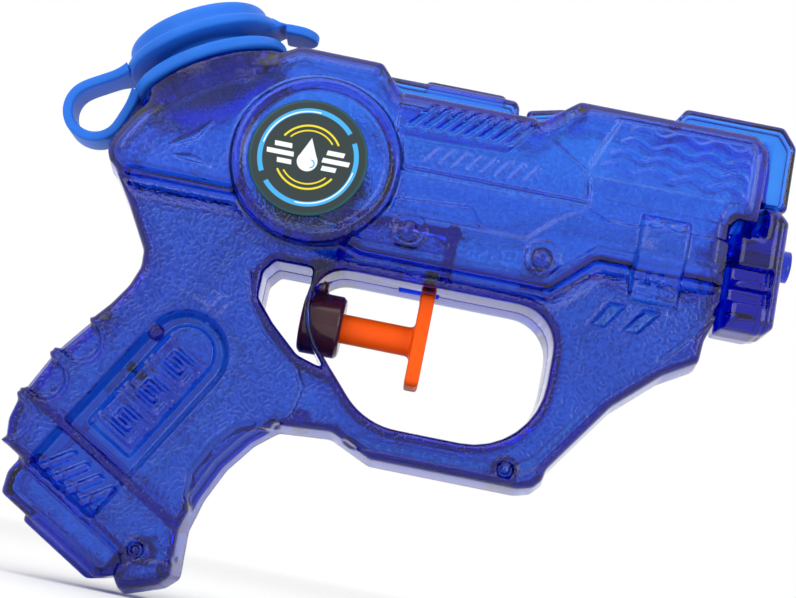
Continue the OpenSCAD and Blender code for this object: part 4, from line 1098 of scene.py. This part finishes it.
class SQUIRTER_OT_strap(bpy.types.Operator):
    """Bends the strap that ties the cap to its ring"""

    bl_idname = "squirter.strap"
    bl_label = "Cap strap"

    def execute(self, context):
        look = context.scene.squirter_look
        loop = [(-25.7 + 6 * math.cos(a), -1.8 + 6 * math.sin(a))
                for a in np.radians(np.linspace(96, 300, 46))]
        start = [(-16.2 - 10.1 * k, 4.3 - 0.13 * k) for k in np.linspace(0, 0.94, 16)]
        end = [(-22.7 + 6.5 * k, -7.0 + 5.75 * k) for k in np.linspace(0.06, 1, 14)]
        line = np.array(start + loop + end)
        for _ in range(12):
            line[1:-1] = 0.25 * line[:-2] + 0.5 * line[1:-1] + 0.25 * line[2:]
        path = [(on_neck(t, s)[0], 0.0, on_neck(t, s)[1]) for t, s in line]
        band = np.array(rounded([(-1, -1, 0.5), (1, -1, 0.5), (1, 1, 0.5), (-1, 1, 0.5)], 5))
        half, flared, half_thick, corner = 4.0, 2.2, 1.1, 1.7

        def section(k):
            flare = max(0.0, 1 - min(k, 1 - k) / 0.09) ** 2
            wide = half + flared * flare - corner * (1 - np.abs(band[:, 0]))
            return np.stack([np.sign(band[:, 0]) * wide, band[:, 1] * half_thick], 1)

        strap = new_object("cap_tie", *sweep(path, section), cap_blue(look))
        close_ends(strap)
        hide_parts("cap_strap")
        low, high = on_neck(-25.7, -0.1), on_neck(-25.7, 3.2)
        low[0] * MM
        low[1] * MM
        high[0] * MM
        high[1] * MM
        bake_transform(strap)
        return {"FINISHED"}


class SQUIRTER_OT_trigger(bpy.types.Operator):
    """Makes the trigger with its push plate, rod and tongue"""

    bl_idname = "squirter.trigger"
    bl_label = "Trigger"

    def execute(self, context):
        look = context.scene.squirter_look
        orange = finish_of("trigger_plastic", soft_finish, tuple(look.trigger), 0.46, 0.0008,
                           0.00003, 0.05)
        grid = Grid((-93.4, -6.4, -42.2), (-70.9, 6.4, -14.6), 0.28)
        side = to_outline(rounded([(-5.5, -41.2, 1.5), (5.5, -41.2, 1.5), (5.5, -21.5, 1.5),
                                   (-5.5, -21.5, 1.5)]), grid.y, grid.z)
        thick = within(grid.x, PUSH_X, 1.5)
        dish = np.hypot(grid.x - PUSH_FRONT - 19.4, grid.y) - 20.0
        plate = carve(np.maximum(side, thick), dish)
        tongue = meet(np.abs(grid.y) - 2, thick, within(grid.z, -18.9, 3.5))
        body = join(plate, tongue, 0.8)
        body = join(body, rod(grid, PUMP_Z, 3.1, -92.4, PUSH_X), 1.0)
        body = np.minimum(body, rod(grid, PUMP_Z, 3.6, -92.4, -91.1))
        field = soften(body.astype(np.float32), 2)
        trigger = mould("push_trigger", grid, field, 30000, orange)
        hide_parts("trigger")
        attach(trigger, "trigger_group")
        return {"FINISHED"}


class SQUIRTER_OT_pump(bpy.types.Operator):
    """Makes the pump barrel and its spring, and finishes the gland and the piston's seal"""

    bl_idname = "squirter.pump"
    bl_label = "Pump"

    def execute(self, context):
        plum = finish_of("barrel_plastic", barrel_finish)
        grid = Grid((-99.2, -7.4, -39.0), (-89.0, 7.4, -18.4), 0.26)
        off_axis, off_stub = np.hypot(grid.y, grid.z - PUMP_Z), np.hypot(grid.y, grid.x - STUB_X)
        bevel = (off_axis + np.abs(grid.x + 94.1) - BARREL_R - 4.3 + 0.7) * DIAGONAL
        body = np.maximum(rod(grid, PUMP_Z, BARREL_R, -98.4, -89.8), bevel)
        body = join(body, np.maximum(off_stub - 2.0, within(grid.z, -22.6, 3.5)), 0.8)
        body = carve(body, rod(grid, PUMP_Z, 5.0, -97.4, -80.0),
                     np.maximum(off_stub - 1.0, PUMP_Z - grid.z))
        barrel = mould("barrel", grid, body.astype(np.float32), 24000, plum)
        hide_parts("pump_barrel")
        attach(barrel, "casing")
        turns = np.linspace(0, 1, 160)
        angle = turns * 3 * 2 * math.pi
        radius = 4.43 - 1.6 * turns
        path = np.stack([-97.13 + 4.46 * turns, radius * np.cos(angle),
                         PUMP_Z + radius * np.sin(angle)], 1)
        spring = new_object("spring_coil", *sweep(path, lambda k: circle(0.22, 10)),
                            finish_of("bright_steel", metal_finish))
        close_ends(spring)
        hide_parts("return_spring")
        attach(spring, "casing")
        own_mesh(spring)
        rubber = finish_of("seal_rubber", soft_finish, (0.016, 0.016, 0.018), 0.55, 0.0006, 0.00003)
        repaint(["piston_seal"], rubber)
        repaint(["pump_gland"], plum)
        return {"FINISHED"}


class SQUIRTER_OT_water_way(bpy.types.Operator):
    """Lays the two hoses and finishes the valve block, its fittings, balls and strainer"""

    bl_idname = "squirter.water_way"
    bl_label = "Hoses and valves"

    def execute(self, context):
        hose = finish_of("clear_hose", hose_finish, 0.06)
        outer, inner = 2.3, 1.5
        rise, r, middle = 5.6, 20, -54.65
        bend = math.acos(1 - rise / (2 * r))
        run = r * math.sin(bend)
        line = [(x, -rise) for x in np.linspace(-93.7, middle - run, 12)]
        line += [(middle - r * (math.sin(bend) - math.sin(a)), -rise + r * (1 - math.cos(a)))
                 for a in np.linspace(0, bend, 14)[1:]]
        line += [(middle + r * (math.sin(bend) - math.sin(a)), -r * (1 - math.cos(a)))
                 for a in np.linspace(bend, 0, 14)[1:]]
        line += [(x, 0.0) for x in np.linspace(middle + run, -15.6, 12)[1:]]
        outlet = pipe("outlet_tube", [(x, 0.0, z) for x, z in line], outer, inner, hose)
        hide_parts("outlet_hose")
        level, start, r, slope = -14.6, -109.7, 7, math.radians(66)
        line = [(x, level) for x in np.linspace(-106.3, start, 5)]
        line += [(start - r * math.sin(a), level - r + r * math.cos(a))
                 for a in np.linspace(0, slope, 18)[1:]]
        x, z = line[-1]
        line += [(x - math.cos(slope) * k, z - math.sin(slope) * k)
                 for k in np.linspace(0, 34, 12)[1:]]
        suction = pipe("suction_tube", [(x, 0.0, z) for x, z in line], outer, inner, hose)
        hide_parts("suction_hose")
        for tube in (outlet, suction):
            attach(tube, "casing")
        natural = finish_of("natural_plastic", hose_finish, 0.22)
        repaint(["valve_block", "inlet_fitting", "outlet_fitting", "strainer"], natural)
        repaint(["inlet_ball", "outlet_ball"], finish_of("bright_steel", metal_finish))
        return {"FINISHED"}


class SQUIRTER_OT_badges(bpy.types.Operator):
    """Sets a printed badge in the recess of each side disc"""

    bl_idname = "squirter.badges"
    bl_label = "Badges"

    def execute(self, context):
        printed = finish_of("badge_print", badge_finish, context.scene.squirter_look)
        profile = [(0.001, 13.75), (9.0, 13.74), (11.6, 13.72), (12.1, 13.65), (12.3, 13.5),
                   (12.3, 13.25), (0.001, 13.25)]
        around = circle(1.0, 96)
        for name, node, side in (("badge_right", "right_badge", -1), ("badge_left", "left_badge", 1)):
            corners = [(BADGE[0] + r * a, side * y, BADGE[1] + r * b)
                       for r, y in profile for a, b in around]
            faces = [quad[::side] for quad in ring_faces(len(profile), len(around))]
            badge = close_ends(new_object(name, corners, faces, printed))
            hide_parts(node)
            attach(badge, "casing")
        return {"FINISHED"}


class SQUIRTER_OT_stage(bpy.types.Operator):
    """Sets the floor, the soft lights, the white surroundings and the camera"""

    bl_idname = "squirter.stage"
    bl_label = "Stage"

    def execute(self, context):
        scene, stage = context.scene, context.scene.squirter_stage
        gap, size = 0.2, 2500.0
        low = CAD_BOX[0][2] / MM - gap
        floor = new_object("floor", [(-size, -size, low), (size, -size, low), (size, size, low),
                                     (-size, size, low)], [(0, 1, 2, 3)], floor_finish("pale_floor"))
        aim = Vector((-0.075, 0.0, -0.02))
        for name, power, wide, spot in (
                ("overhead", stage.key, 0.5, (-0.15, -0.22, 0.55)),
                ("side", stage.fill, 0.4, (0.45, -0.35, 0.15)),
                ("front", stage.fill, 0.45, (-0.45, -0.42, 0.3))):
            lamp = bpy.data.lights.new(name, "AREA")
            lamp.energy, lamp.size = power, wide
            obj = bpy.data.objects.new(name, lamp)
            obj.location = spot
            obj.rotation_euler = (aim - Vector(spot)).to_track_quat("-Z", "Y").to_euler()
            scene.collection.objects.link(obj)
        world = bpy.data.worlds.new("white")
        scene.world = world
        world.use_nodes = True
        tree = world.node_tree
        rays = tree.nodes.new("ShaderNodeLightPath").outputs
        seen = Val(tree, rays["Is Camera Ray"])
        for kind in ("Is Glossy Ray", "Is Transmission Ray"):
            seen = seen.most(Val(tree, rays[kind]))
        level = seen * (1.0 - stage.around) + stage.around
        ground = tree.nodes["Background"]
        ground.inputs["Color"].default_value = (1, 1, 1, 1)
        tree.links.new(level.socket, ground.inputs["Strength"])
        scene.view_settings.view_transform = "Standard"
        scene.cycles.max_bounces = scene.cycles.transmission_bounces = 20
        data = bpy.data.cameras.new("camera")
        data.sensor_fit, data.sensor_width, data.lens = "HORIZONTAL", 36.0, stage.lens
        data.clip_start = 0.01
        camera = bpy.data.objects.new("camera", data)
        stand = Vector((-0.07247, -0.31047, -0.08021))
        ahead = Vector((-0.0225, 0.9832, 0.1813)).normalized()
        right = Vector((0.9805, -0.0138, 0.1961))
        right = (right - ahead * right.dot(ahead)).normalized()
        turn = Matrix((right, right.cross(ahead), -ahead)).transposed().to_4x4()
        camera.matrix_world = Matrix.Translation(stand) @ turn
        scene.collection.objects.link(camera)
        scene.camera = camera
        return {"FINISHED"}


class SQUIRTER_PT_panel(bpy.types.Panel):
    """Lists the steps that build the squirter"""

    bl_idname = "SQUIRTER_PT_panel"
    bl_label = "Water squirter"
    bl_space_type = "VIEW_3D"
    bl_region_type = "UI"
    bl_category = "Squirter"

    def draw(self, context):
        column = self.layout.column()
        for group in ("squirter_casing", "squirter_look", "squirter_stage"):
            settings = getattr(context.scene, group)
            for name in settings.__annotations__:
                column.prop(settings, name)
        for step in STEPS:
            column.operator(step.bl_idname)


STEPS = (SQUIRTER_OT_casing, SQUIRTER_OT_muzzle, SQUIRTER_OT_cap, SQUIRTER_OT_strap,
         SQUIRTER_OT_trigger, SQUIRTER_OT_pump, SQUIRTER_OT_water_way, SQUIRTER_OT_badges,
         SQUIRTER_OT_stage)
GROUPS = {"squirter_casing": SquirterCasing, "squirter_look": SquirterLook,
          "squirter_stage": SquirterStage}


def register():
    for item in (*GROUPS.values(), *STEPS, SQUIRTER_PT_panel):
        bpy.utils.register_class(item)
    for name, group in GROUPS.items():
        setattr(bpy.types.Scene, name, PointerProperty(type=group))


def unregister():
    for name in GROUPS:
        delattr(bpy.types.Scene, name)
    for item in reversed((*GROUPS.values(), *STEPS, SQUIRTER_PT_panel)):
        bpy.utils.unregister_class(item)


def main():
    """Builds every piece, then the stage."""
    register()
    for step in STEPS:
        group, name = step.bl_idname.split(".")
        getattr(getattr(bpy.ops, group), name)()


if __name__ == "__main__":
    main()
